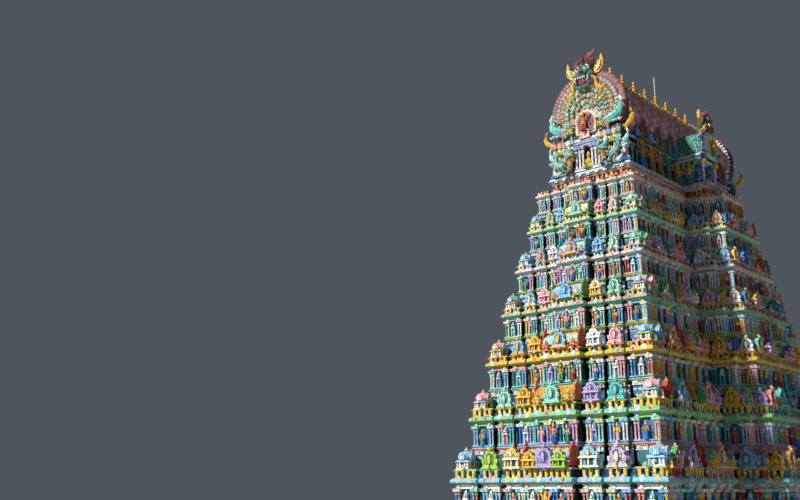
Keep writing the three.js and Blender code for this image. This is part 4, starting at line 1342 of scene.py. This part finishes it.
# The kerb's walls wear SHADE: painted shade in the gaps between its posts.
wall.coat = (SHADE, CREAM, MINT)
for side in (1, -1):
    near = PLATFORM_WIDTH - KERB_WALL
    for x, y in ((PLATFORM_HALF, PLATFORM_WIDTH), (PLATFORM_PORCH, PLATFORM_WIDTH + PLATFORM_OUT)):
        wall.block(x - KERB_BACK, sorted((side * near, side * (y - KERB_BACK))), kerb, BODY)
    x = sorted((side * (PLATFORM_HALF - KERB_WALL), side * (PLATFORM_HALF - KERB_BACK)))
    wall.block(x, (-near, near), kerb, BODY)
rng = random.Random(7)
for bay in straights(PLATFORM_HALF, PLATFORM_WIDTH, PLATFORM_PORCH, PLATFORM_OUT):
    wall.line(bay, post, 0.34, -0.06, kerb_foot, (0.17, 0.2, PLATFORM_FOOT - kerb_foot),
              rng, [ORANGE, ORANGE, RED, GOLD], WHITE, SALMON)
    stage.line(bay, window, 0.62, 0.28, 41.0, 0.3, rng, [MINT, SKY, PINK, LIME], WHITE, RED, tilt=-0.2)
stage.make("cornice_stucco", "crown_platform")
wall.make("parapet_stucco", "crown_kerb")

# %% Columns, eave and figures of the neck
neck = Dress("crown_neck_dress")
for low, high, tone, coat, out in ((PLATFORM_TOP, NECK_FOOT, BODY, PINK, 0.06),
                                   (43.1, 43.2, TRIM, WHITE, 0.12)):
    neck.coat = (coat, WHITE, SKY)
    for ring in frame_of(NECK_HALF + out, NECK_WIDTH + out, 0.3):
        neck.run(lambda _, ring=ring: ring, [(0, low, tone), (0, high, tone)])
neck.coat = (SKY, WHITE, BLUE)
for side in BOTH:
    for end in BOTH:
        x = sorted((end * (DORMER_HALF + 0.1), end * (NECK_HALF - 0.02)))
        for out, low, high, tone in ((0.34, 43.25, 43.35, TRIM), (0.4, 43.35, 43.47, BODY),
                                     (0.36, 43.47, 43.58, ACCENT)):
            neck.block(x, sorted((side * (NECK_WIDTH - 0.1), side * (NECK_WIDTH + out))), (low, high), tone)
people = Dress("crown_figures")
for bay in straights(NECK_HALF, NECK_WIDTH, DORMER_HALF, 0.0):
    if bay.kind in ("cheek", "porch"):
        continue
    for number, along in enumerate(bay.spread(0.62)):
        if bay.kind == "end" and abs(along) < END_PORCH_HALF + 0.1:
            continue
        neck.on(bay, column, along, 0.1, NECK_FOOT, (1.5, 1.5, 1.55), coats_of(STOREYS, rng))
        if bay.kind == "side" and number % 2:
            coats = drawn(rng, [OCHRE, LILAC, ROSE, TEAL, SKY], [PINE, RED, BLUE, BRONZE], BRONZE)
            people.on(bay, standing, along + 0.3, 0.42, PLATFORM_TOP, rng.uniform(1.4, 2.0), coats)
for end in BOTH:
    for side in BOTH:
        spot = (end * (PLATFORM_HALF - 0.35), side * 2.35, PLATFORM_TOP)
        people.put(bull, spot, looks(end) + side * end * 0.6, (1.15, 1.15, 1.3), (WHITE, BLUE, RED))
neck.make("wall_stucco")

# %% [markdown]
# ## The barrel roof
#
# The roof is a barrel vault of brick under fish-scale tiles. The masonry shell is the CAD model's, and the
# tiles hang on it in rows that follow the ellipse. Along the ridge runs a moulded coping that carries the
# finials. Arched windows with figures stand along the foot.

# %% Tiles, ridge and arched windows
ROOF_HALF, ROOF_WIDTH, ROOF_HEIGHT, ROOF_CENTRE = 7.75, 2.65, 2.85, 45.15
RIDGE_TOP, TILE, TILE_LAP = 48.15, 0.44, 0.8
LAST_ROW, ARCHES_AT = math.radians(84), (-5.9, -3.9, -2.1, 2.1, 3.9, 5.9)
TILE_COATS, JOINT = paints("d69ca4 94707c b4808c"), paint("3a2c38")
ARCH_COATS = paints("5e7890 7a6450 487e90")


def on_roof(angle):
    """A point of the roof's section and how far its normal is raised."""
    y, z = ROOF_WIDTH * math.cos(angle), ROOF_CENTRE + ROOF_HEIGHT * math.sin(angle)
    return y, z, math.atan2(math.sin(angle) / ROOF_HEIGHT, math.cos(angle) / ROOF_WIDTH)


tiles = Dress("roof_tiles")
angle, row = math.asin((NECK_TOP - ROOF_CENTRE) / ROOF_HEIGHT), 0
while angle < LAST_ROW:
    step = TILE_LAP * TILE / math.hypot(ROOF_WIDTH * math.sin(angle), ROOF_HEIGHT * math.cos(angle))
    y, z, rise = on_roof(angle + step)
    count = int(2 * ROOF_HALF / TILE) - row % 2
    for side in BOTH:
        for i in range(count):
            x = (i + 0.5 - count / 2) * TILE
            if abs(x) > DORMER_HALF or z > DORMER_CROWN:
                coats = (TILE_COATS[(i + row) % 3], JOINT, GOLD)
                size = (0.94 * TILE, 0.4, 1.3 * TILE)
                tiles.put(tile, (x, side * y, z), side * math.pi / 2, size, coats, tilt=0.12 - rise)
    angle, row = angle + step, row + 1
tiles.make("roof_tile", material=glaze)

ridge = Dress("ridge_coping")
ridge.coat = (BRONZE, OCHRE, MAROON)
for half, low, high, tone in ((0.42, 47.72, 47.84, BODY), (0.32, 47.84, 48.0, ACCENT),
                              (0.36, 48.0, 48.06, TRIM), (0.26, 48.06, RIDGE_TOP + 0.005, BODY)):
    ridge.block(ROOF_HALF, (-half, half), (low, high), tone)
for side in BOTH:
    bay = Bay("ridge", 0, side * 0.34, side * math.pi / 2, 2 * ROOF_HALF)
    ridge.line(bay, window, 0.3, 0.0, 47.8, 0.24, rng, [OCHRE, BRONZE, GOLD], OCHRE, RED)
    for number, along in enumerate(bay.spread(0.42)):
        coats = drawn(rng, [OCHRE, GOLD, TEAL, ROSE], GOLD, GOLD)
        ridge.on(bay, (curl, flame)[number % 2], along, 1.34, 47.56, (0.5, 0.6, 0.6), coats, -0.95)
for side in BOTH:
    bay = Bay("foot", 0, side * (NECK_WIDTH + 0.38), side * math.pi / 2, 2 * ROOF_HALF)
    for middle in ARCHES_AT:
        people.on(bay, gable, middle, 0.0, 43.4, 1.7, drawn(rng, ARCH_COATS, [BRONZE, TEAL, PLUM], OCHRE))
        people.on(bay, standing, middle, 0.3, NECK_TOP, 1.15, (ROSE, BLUE, BRONZE))
        for step in (-0.9, 0.9):
            coats = drawn(rng, [OCHRE, LILAC, ROSE, SKY], [MAROON, PINE, BLUE], BRONZE)
            people.on(bay, seated, middle + step, 0.0, NECK_TOP, 0.85, coats)
people.make("parapet_stucco")
ridge.make("roof_tile")

# %% [markdown]
# ## The great end gables
#
# Each end of the barrel is closed by a horseshoe gable: rings of petals, feathers and beads round a pale
# field with a niche, sea monsters at its feet and a lion mask on top.

# %% Gable with its rings, mask and monsters
GABLE_CENTRE, GABLE_RADIUS, GABLE_THICK, GABLE_MASK = 45.6, 2.9, 0.55, 46.9
FIELD, MASK_COATS = paint("8ca898"), tuple(paints("2b8478 8c2424 a05a60"))
RIM = [(coat, PLUM, GOLD) for coat in paints("c99488 b47a72 d8a898 a86c68")]
SWARM = [(GOLD, RED, GOLD), (MINT, TEAL, OCHRE), (CREAM, WHITE, MAROON), (GOLD, OCHRE, GOLD),
         (CREAM, SEA, GOLD)]


def horseshoe(radius, foot, steps):
    start = -math.degrees(math.asin(min(0.98, foot / radius)))
    return arch(radius, start, steps)


def with_gold(*pairs):
    return [(*pair, GOLD) for pair in pairs]


def discs(dress, bay, centre, foot, steps, rows):
    """Horseshoe plates, one before the other. foot is how far they reach below their centre."""
    for radius, front, back, coats in rows:
        dress.coat = coats
        disc = Carving().plate(horseshoe(radius, foot, steps), -front, -back, BODY)
        dress.place(disc, (bay.x, bay.y, centre), bay.facing + math.pi / 2)


def ring_of(dress, bay, centre, carve, radius, count, size, palette, out, spread=119.0):
    """Carvings in a ring that point away from its centre. spread is how far it comes down, in degrees."""
    for i in range(count):
        turn = math.radians(-spread + 2 * spread * i / (count - 1))
        along, height = radius * math.sin(turn), centre + radius * math.cos(turn)
        dress.on(bay, carve, along, out, height, size, palette[i % len(palette)], roll=turn)


def end_gable(end):
    name = "gable_west" if end < 0 else "gable_east"
    dress = Dress(name + "_dress")
    bay = Bay("gable", end * (ROOF_HALF + GABLE_THICK), 0, looks(end), 2 * GABLE_RADIUS)
    foot = END_PORCH_TOP - GABLE_CENTRE
    discs(dress, bay, GABLE_CENTRE, -foot, 28, [(*row, (colour, WHITE, GOLD)) for *row, colour in (
        (2.45, 0.0, -GABLE_THICK, NAVY), (2.42, 0.1, 0.0, PLUM), (2.06, 0.16, 0.1, OCHRE),
        (1.98, 0.18, 0.16, ROSE), (1.76, 0.22, 0.18, OCHRE), (1.68, 0.24, 0.2, FIELD))])
    for row in (
            (petal, 2.4, 96, (0.3, 0.6, 0.5), RIM, -0.06),
            (feather, 2.28, 40, (0.8, 0.6, 0.56),
             with_gold((WHITE, GOLD), (MINT, GOLD), (CREAM, GOLD), (PINK, GOLD)), -0.6),
            (bead, 2.74, 60, 0.2, with_gold((BLUE, NAVY), (NAVY, NAVY)), -0.36),
            (feather, 2.08, 96, (0.28, 0.5, 0.36), with_gold((CREAM, PINK), (ROSE, PINK), (SEA, PINK)), 0.1),
            (bead, 2.02, 60, 0.13, with_gold((GOLD, RED), (ORANGE, RED)), 0.2),
            (feather, 1.76, 72, (0.26, 0.4, 0.26),
             with_gold((MINT, PINK), (CREAM, WHITE), (ROSE, RED)), 0.18)):
        ring_of(dress, bay, GABLE_CENTRE, *row)
    for radius, count, spread, size in ((1.52, 19, 112.0, 0.42), (1.1, 13, 100.0, 0.42), (0.7, 6, 74.0, 0.44),
                                        (0.26, 3, 60.0, 0.36)):
        for carve, reach, number, shape, palette, out in (
                (seated, radius - size / 2, count, (0.85, 1.0, 1.0), SWARM, 0.24),
                (curl, radius, count - 1, (0.55, 0.6, 0.55), SWARM[::-1], 0.3)):
            shape = tuple(size * share for share in shape)
            ring_of(dress, bay, GABLE_CENTRE, carve, reach, number, shape, palette, out, spread)
    dress.coat = (CREAM, ROSE, PLUM)
    niche = Carving()
    for half, low, front, tone in ((0.84, 0.0, 0.42, BODY), (0.68, 0.1, 0.46, TRIM),
                                   (0.6, 0.12, 0.49, ACCENT)):
        outline = [(-half + 0.1, foot + low), (half - 0.1, foot + low), *arch(half, -25, 14, (0, -0.85))]
        niche.plate(outline, -front, -0.2, tone)
    dress.place(niche, (bay.x, 0, GABLE_CENTRE), bay.facing + math.pi / 2)
    dress.on(bay, standing, 0, 0.5, END_PORCH_TOP + 0.1, 1.4, (OCHRE, RED, GOLD))
    for side in BOTH:
        for carve, along, out, lift, size, coats in (
                (seated, 1.15, 0.4, 0.1, 0.8, (GOLD, GREEN, GOLD)),
                (seated, 1.6, 0.4, 0.0, 0.7, (SALMON, SKY, GOLD)),
                (seated, 0.95, 0.4, 0.75, 0.55, (CREAM, RED, GOLD)),
                (seated, 1.5, 0.4, 0.65, 0.5, (PINK, TEAL, GOLD)),
                (monster, 2.0, 0.3, 0.4, (side * 1.7, 1.5, 1.6), (SEA, WHITE, PINK)),
                (curl, 2.35, 0.4, 1.25, (side * 0.7, 0.9, 0.9), (MINT, WHITE, GOLD)),
                (horn, 2.7, 0.15, -0.1, (side * 1.1, 1.1, 1.15), (GOLD, OCHRE, GOLD))):
            dress.on(bay, carve, side * along, out, END_PORCH_TOP + lift, size, coats)
    dress.on(bay, mask, 0, 0.0, GABLE_MASK, (2.5, 2.0, 2.45), MASK_COATS)
    dress.make("gable_stucco", name)


for end in BOTH:
    end_gable(end)

# %% Porch at the end of the neck
porches = Dress("end_porches")
porches.coat = (SKY, WHITE, PINK)
for end in BOTH:
    bay = Bay("porch", end * (NECK_HALF + END_PORCH_OUT), 0, looks(end), 2 * PORCH_LIP)
    for out, low, high, half, tone in ((0.3, PLATFORM_TOP, 41.56, 1.0, TRIM), (0.38, 43.1, 43.22, 1.0, TRIM),
                                       (0.46, 43.22, 43.36, 1.08, BODY), (0.5, 43.36, 43.46, 1.12, ACCENT),
                                       (0.38, 43.46, 43.6, 1.0, TRIM)):
        x = sorted((end * (NECK_HALF + 0.02), end * (NECK_HALF + END_PORCH_OUT + out)))
        porches.block(x, (-half, half), (low, high), tone)
    for along in (-0.85, -0.6, -0.35, 0.35, 0.6, 0.85):
        porches.on(bay, column, along, 0.26, 41.56, (1.7, 1.5, 1.54), (WHITE, LILAC, SKY))
    porches.on(bay, gable, 0, 0.4, 43.5, (1.0, 1.0, 0.95), (CREAM, PINK, GOLD))
    for number, along in enumerate(bay.spread(0.34)):
        if abs(along) > 1.0:
            coats = drawn(rng, [PINK, MINT, CREAM, SKY, SALMON], [WHITE, GOLD], ACCENTS)
            carve, size = ((seated, 0.62), (window, 0.45))[number % 2]
            porches.on(bay, carve, along, 0.36, 43.3, size, coats)
            porches.on(bay, window, along, 0.34, 43.05, 0.34, (MINT, WHITE, GOLD))
    porches.on(bay, seated, 0, -0.05, PLATFORM_TOP, 1.3, (GOLD, GREEN, GOLD))
    for side in BOTH:
        for along, out, tall, coats in ((1.25, 0.28, 1.5, (OCHRE, PLUM, GOLD)),
                                        (1.7, 0.1, 1.3, (CREAM, SEA, GOLD)),
                                        (2.1, 0.16, 1.4, (SKY, WHITE, GOLD))):
            porches.on(bay, standing, side * along, out, PLATFORM_TOP, tall, coats)
        for along, out, foot, size, coats in (
                (1.5, 0.45, 41.35, 0.8, (PINE, WHITE, PINK)), (1.3, 0.5, 42.5, 0.8, (SEA, WHITE, GOLD)),
                (2.0, 0.4, 41.9, 0.9, (MINT, PINE, ROSE)), (2.3, 0.35, 41.4, 0.7, (WHITE, SEA, GOLD))):
            porches.on(bay, monster, side * along, out, foot, (side * size, size, size), coats)
            spot = (side * (along - 0.2), out + 0.1, foot + 0.5 * size)
            porches.on(bay, curl, *spot, (side * 0.4, 0.4, 0.4), (CREAM, GOLD, GOLD))
        for carve, along, out, foot, size, coats in (
                (seated, 1.5, 0.3, 42.7, 0.65, (WHITE, PINK, GOLD)),
                (seated, 1.95, 0.3, 42.75, 0.65, (GOLD, GREEN, RED)),
                (seated, 2.4, 0.3, 42.7, 0.65, (MINT, SKY, GOLD)),
                (monster, 2.5, 0.1, 42.5, (side * 1.1, 1.0, 1.1), (MINT, WHITE, PINK)),
                (column, 2.42, -0.1, PLATFORM_TOP, (1.4, 1.4, 1.2), (CREAM, PINK, SKY))):
            porches.on(bay, carve, side * along, out, foot, size, coats)
porches.make("gable_stucco")

# %% [markdown]
# ## Dormers
#
# A small vault crosses the roof in the middle of each broad side, over an open porch. It has its own
# horseshoe gable and mask.

# %% Dormer with porch, scales and gable
DORMER_FRONT, DORMER_EAVE, DORMER_WALL, DORMER_CENTRE, DORMER_MASK = 4.6, 43.2, 0.5, 44.15, 45.1
DORMER_SPRING, SCALE_ROWS, SCALE_COLUMNS, SCALE_BACK = DORMER_EAVE + 0.5, 9, 12, 1.9
SCALES = [*paints("3f8a52 2f7a6c"), PINE, paint("4a9450")]


def dormer(side):
    name = "dormer_front" if side < 0 else "dormer_back"
    dress = Dress(name + "_dress")
    deep, half, crown = DORMER_FRONT - 0.3, DORMER_HALF, DORMER_CROWN
    bay = Bay("dormer", 0, side * deep, side * math.pi / 2, 2 * half)

    def vault_at(angle):
        return half * math.cos(angle), DORMER_SPRING + (crown - DORMER_SPRING) * math.sin(angle)

    section = [(half, DORMER_EAVE), *[vault_at(math.pi * i / 12) for i in range(13)], (-half, DORMER_EAVE)]
    shell = Carving().plate(section, -deep, -0.6, BODY)
    for x, near, far, low, high, tone in (
            (half + 0.12, deep + 0.1, NECK_WIDTH, DORMER_EAVE - 0.12, DORMER_EAVE, PALE),
            (half + 0.18, deep + 0.16, NECK_WIDTH, DORMER_EAVE, DORMER_EAVE + 0.14, ACCENT),
            (half + 0.1, deep + 0.08, NECK_WIDTH, DORMER_EAVE + 0.14, DORMER_EAVE + 0.3, TRIM),
            (0.12, deep, 0.9, crown - 0.05, crown + 0.1, PALE)):
        shell.block(x, (-near, -far), (low, high), tone)
    for end in BOTH:
        x = sorted((end * (half - DORMER_WALL), end * half))
        shell.block(x, (-deep, -NECK_WIDTH - 0.002), (PLATFORM_TOP, DORMER_EAVE - 0.12), ACCENT)
    dress.coat = (PINE, WHITE, BLUE)
    dress.place(shell, (0, 0, 0), bay.facing + math.pi / 2)
    for end in BOTH:
        cheek = Bay("cheek", end * half, side * (deep + NECK_WIDTH) / 2, looks(end), deep - NECK_WIDTH)
        for along in (-0.8, 0.0, 0.8):
            dress.on(cheek, column, along, 0.02, PLATFORM_TOP, (1.4, 1.4, 1.66), (NAVY, SKY, GOLD))
        for along in (-0.4, 0.4):
            coats = drawn(rng, GOLD, [GREEN, BLUE, RED], GOLD)
            dress.on(cheek, standing, along, 0.14, PLATFORM_TOP, 1.6, coats)
        dress.on(bay, column, end * 0.9, 0.1, PLATFORM_TOP, (1.8, 1.8, 1.68), (WHITE, GOLD, RED))
        for row in range(SCALE_ROWS):
            angle, odd = math.radians(6 + 9.5 * row), row % 2
            x, z = vault_at(angle)
            for i in range(SCALE_COLUMNS - odd):
                y = SCALE_BACK + (deep - SCALE_BACK) * (i + 0.5 + 0.5 * odd) / SCALE_COLUMNS
                coats = drawn(rng, SCALES, SEA, BLUE)
                spot = (end * x, side * y, z + 0.08)
                dress.put(tile, spot, cheek.facing, (0.19, 0.24, 0.27), coats, tilt=0.15 - angle)
    discs(dress, bay, DORMER_CENTRE, DORMER_CENTRE - DORMER_EAVE, 20, (
        (1.3, 0.3, 0.0, (BLUE, WHITE, GOLD)), (1.1, 0.36, 0.0, (SKY, WHITE, GOLD)),
        (0.9, 0.4, 0.0, (WHITE, GOLD, GOLD)), (0.72, 0.43, 0.0, (PINK, GOLD, GOLD))))
    rim = with_gold((WHITE, SKY), (GOLD, TEAL))
    ring_of(dress, bay, DORMER_CENTRE, petal, 1.22, 26, (0.4, 0.4, 0.3), rim, 0.2, 118.0)
    dress.on(bay, standing, 0, 0.42, DORMER_EAVE + 0.2, 1.4, (GOLD, GREEN, GOLD))
    for end in BOTH:
        dress.on(bay, monster, end * 1.05, 0.3, DORMER_EAVE + 0.22, (end * 0.8, 0.7, 0.8), (TEAL, GOLD, RED))
    dress.on(bay, mask, 0, 0.1, DORMER_MASK, (1.75, 1.4, 1.6), (PINE, RED, paint("a0503c")))
    dress.make("dormer_tile", name)


for side in BOTH:
    dormer(side)

# %% [markdown]
# ## Finials
#
# Nine turned brass pots stand on the ridge. Dark braces tie the middle ones to the ridge, because the wind
# is strong up there.

# %% Brass and braces
def brass_face(web):
    return surface(*aged(web, paint("d9a23c"), dust=0.1, sheen=(0.25, 0.45)), Metallic=0.6)


brass = finish("brass", brass_face)
FINIALS, FINIAL_SPACING, FINIAL_HEIGHT = 9, 1.655, 1.9
BRACE, BRACE_FOOT, BRACE_HEAD = (0.03, 0.03), RIDGE_TOP + 0.35, RIDGE_TOP + 1.05
pots = Dress("finials_dress")
for i in range(FINIALS):
    x = (i - (FINIALS - 1) / 2) * FINIAL_SPACING
    size = (1.06 * FINIAL_HEIGHT, 1.06 * FINIAL_HEIGHT, FINIAL_HEIGHT)
    pots.put(finial, (x, 0, RIDGE_TOP), 0.0, size, (GOLD, GOLD, GOLD))
pots.make("brass", *[f"finial_{i + 1}" for i in range(FINIALS)], material=brass)
braces = Dress("finial_braces")
braces.coat = (SHADE, SHADE, SHADE)
for i in (-2, -1, 1):
    low, high = i * FINIAL_SPACING, (i + 1) * FINIAL_SPACING
    for foot in (BRACE_HEAD, BRACE_FOOT):
        braces.tube([(low, 0, foot), (high, 0, BRACE_HEAD)], BRACE, BODY, 5)
braces.make("brass")

# %% [markdown]
# ## Finishes of the masonry
#
# The solid walls, the roof's shell and the granite gate house come from the CAD model. Each gets its own
# finish.

# %% Plain painted and stone finishes
SPECK_START, SPECK_EDGE = 0.5, 5.0
REVEAL_HALF = 0.45 * SCALE + 0.2


def granite_face(web):
    place = web.place()
    base = web.blend(web.noise(place, 0.9, 5.0), *paints("8f8577 b5a88f"))
    speck = (web.noise(place, 90.0, 3.0) - SPECK_START) * SPECK_EDGE
    spotted = web.blend(speck.clamp(), base, paint("5c554d"))
    return surface(*aged(web, spotted, grime=0.45, dust=0.1, sheen=(0.7, 0.9)))


def wall_paint(web):
    """The wall's own blue-green paint, darkened as painted shade of the deep wall behind the columns and in
    the notches, and lilac inside the doorways.
    """
    place = web.place()
    x = web.make("ShaderNodeSeparateXYZ", {}, {0: place}, 0).math("ABSOLUTE")
    dark = web.blend(web.noise(place, 1.4), *paints("16323e 223c34"))
    return surface(*aged(web, web.blend(x < REVEAL_HALF, dark, paint("8f8cc4"))))


granite = finish("granite", granite_face)
wall_and_shade_finish = finish("wall paint", wall_paint)
steel = finish("galvanised steel", lambda web: surface(*aged(web, paint("c3c8cb")), Metallic=0.7))
roof_finish = finish("roof tile", lambda web: surface(*aged(web, paint("4e2428"))))

for name, node in frame["nodes"].items():
    if name.startswith("gate_house") or name == "gate_ceiling":
        material = granite
    elif name.endswith("_wall") or name == "crown_neck":
        material = wall_and_shade_finish
    elif name == "lightning_rod":
        material = steel
    elif name == "crown_roof":
        material = roof_finish
    else:
        continue
    node.data.materials.clear()
    node.data.materials.append(material)
    print(name, "in", material.name)

# %% [markdown]
# ## The granite gate house
#
# Below the painted storeys the tower is granite, and only its foot is plain. A moulded base, pilasters at
# the edges of each bay, niches between them and a rolled cornice were cut into the blocks. The same bays and
# outlines as above set them out, in the bare stone. Larger pilasters stand beside the passage.

# %% Mouldings, pilasters and niches in granite
BASE_TOP, PILASTER_TOP, FRIEZE_TOP, GRANITE_TOP = 2.05, 6.25, 7.1, 8.39
BARE = (WHITE, WHITE, WHITE)
PILASTER_EDGE, PILASTER_PITCH, PASSAGE_PITCH = 0.35, 2.4, 2.6
GUARD_DOOR_CLEAR, NICHE_ROOM = 0.9, 0.9
gate = Dress("gate_house_dress")
for section, jamb, hollow in (
        ([(-0.1, 0.0), (0.42, 0.0), (0.42, 0.62), (0.34, 0.78), (0.16, 0.86), (0.12, 1.02), (0.2, 1.08),
          (0.3, 1.2), (0.32, 1.32), (0.26, 1.46), (0.1, 1.52), (0.08, 1.7), (0.22, 1.74), (0.24, 1.9),
          (0.0, 1.95), (0.0, BASE_TOP), (-0.19, BASE_TOP)], GATE_HALF, True),
        ([(-0.1, PILASTER_TOP), (0.04, PILASTER_TOP), (0.04, 6.45), (0.14, 6.5), (0.14, 6.66), (0.0, 6.72),
          (0.0, FRIEZE_TOP), (-0.15, FRIEZE_TOP)], GATE_HALF, True),
        ([(0.0, FRIEZE_TOP), (0.12, 7.12), (0.16, 7.25), (0.62, 7.34), (0.66, 7.44), (0.6, 7.62),
          (0.36, 7.82), (0.1, 7.9), (0.1, 8.0), (0.2, 8.04), (0.2, 8.3), (0.05, 8.33),
          (0.05, GRANITE_TOP)], 0.0, False)):
    belt(gate, plans[0], BARE, [(*spot, BODY) for spot in section], 0.0, 1.0, jamb, hollow)
rise = PILASTER_TOP - BASE_TOP
for bay in bays_of(plans[0]):
    for low, high in bay.runs(GATE_HALF):
        cells = max(1, round((high - low) / PILASTER_PITCH))
        room = (high - low - 2 * PILASTER_EDGE) / cells
        for i in range(cells + 1):
            gate.on(bay, column, low + PILASTER_EDGE + room * i, -0.14, BASE_TOP, (3.6, 2.2, rise), BARE)
        for i in range(cells if room > NICHE_ROOM else 0):
            size = (min(3.2, 1.6 * room), 2.0, 0.8 * rise)
            gate.on(bay, pavilion, low + PILASTER_EDGE + room * (i + 0.5), -0.18, BASE_TOP + 0.1, size, BARE)
    gate.line(bay, window, 0.75, 0.5, 7.36, 0.42, None, *BARE, tilt=WINDOW_TILT)
    gate.line(bay, post, 0.28, 0.2, 8.04, (0.13, 0.12, 0.24), None, *BARE)
porch = plans[0].width + PORCH_OUT + FACE
for side in BOTH:
    gate.block(GATE_HALF + 0.5, sorted((side * (porch - 0.4), side * (porch + 0.16))), (GATE_HEAD, 6.6), BODY)
    passage = Bay("passage", side * GATE_HALF, 0, looks(-side), 2 * porch - 1.2)
    for along in passage.spread(PASSAGE_PITCH):
        if abs(along) > GUARD_DOOR_CLEAR:
            gate.on(passage, column, along, 0.0, 0.0, (3.2, 1.5, GATE_HEAD), BARE)
gate.make("granite", material=granite)

# %% [markdown]
# ## Studio
#
# A pale floor, one broad sun from the left and a soft sky of light blue.

# %% Floor and light
FLOOR_HALF = 70
SUN_FROM = Vector((-0.72, 0.34, 0.62))

floor_mesh = bpy.data.meshes.new("floor")
corners = [(-1, -1), (1, -1), (1, 1), (-1, 1)]
floor_mesh.from_pydata([(FLOOR_HALF * x, FLOOR_HALF * y, 0) for x, y in corners], [], [(0, 1, 2, 3)])
floor = bpy.data.objects.new("floor", floor_mesh)
plain = {"Base Color": paint("bdbbb7"), "Roughness": 0.9}
floor_mesh.materials.append(finish("studio floor", lambda web: plain))
scene.collection.objects.link(floor)

sun_data = bpy.data.lights.new("sun", "SUN")
sun_data.energy = 5.3
sun_data.angle = math.radians(3)
sun = bpy.data.objects.new("sun", sun_data)
sun.rotation_euler = SUN_FROM.to_track_quat("Z", "Y").to_euler()
scene.collection.objects.link(sun)

world = bpy.data.worlds.new("sky")
world.use_nodes = True
sky = world.node_tree.nodes["Background"]
sky.inputs["Color"].default_value = (0.7, 0.83, 1.0, 1.0)
sky.inputs["Strength"].default_value = 0.11
scene.world = world
scene.view_settings.view_transform = "Standard"
print("sun:", round(sun_data.energy, 1), "W/m2, sky:", round(sky.inputs["Strength"].default_value, 2))

# %% Clear the stock and close
for stock in list(kit_collection.objects):
    bpy.data.objects.remove(stock)
bpy.data.collections.remove(kit_collection)

print("dress:", len(pieces), "pieces,", sum(triangles(piece.data) for piece in pieces), "triangles")
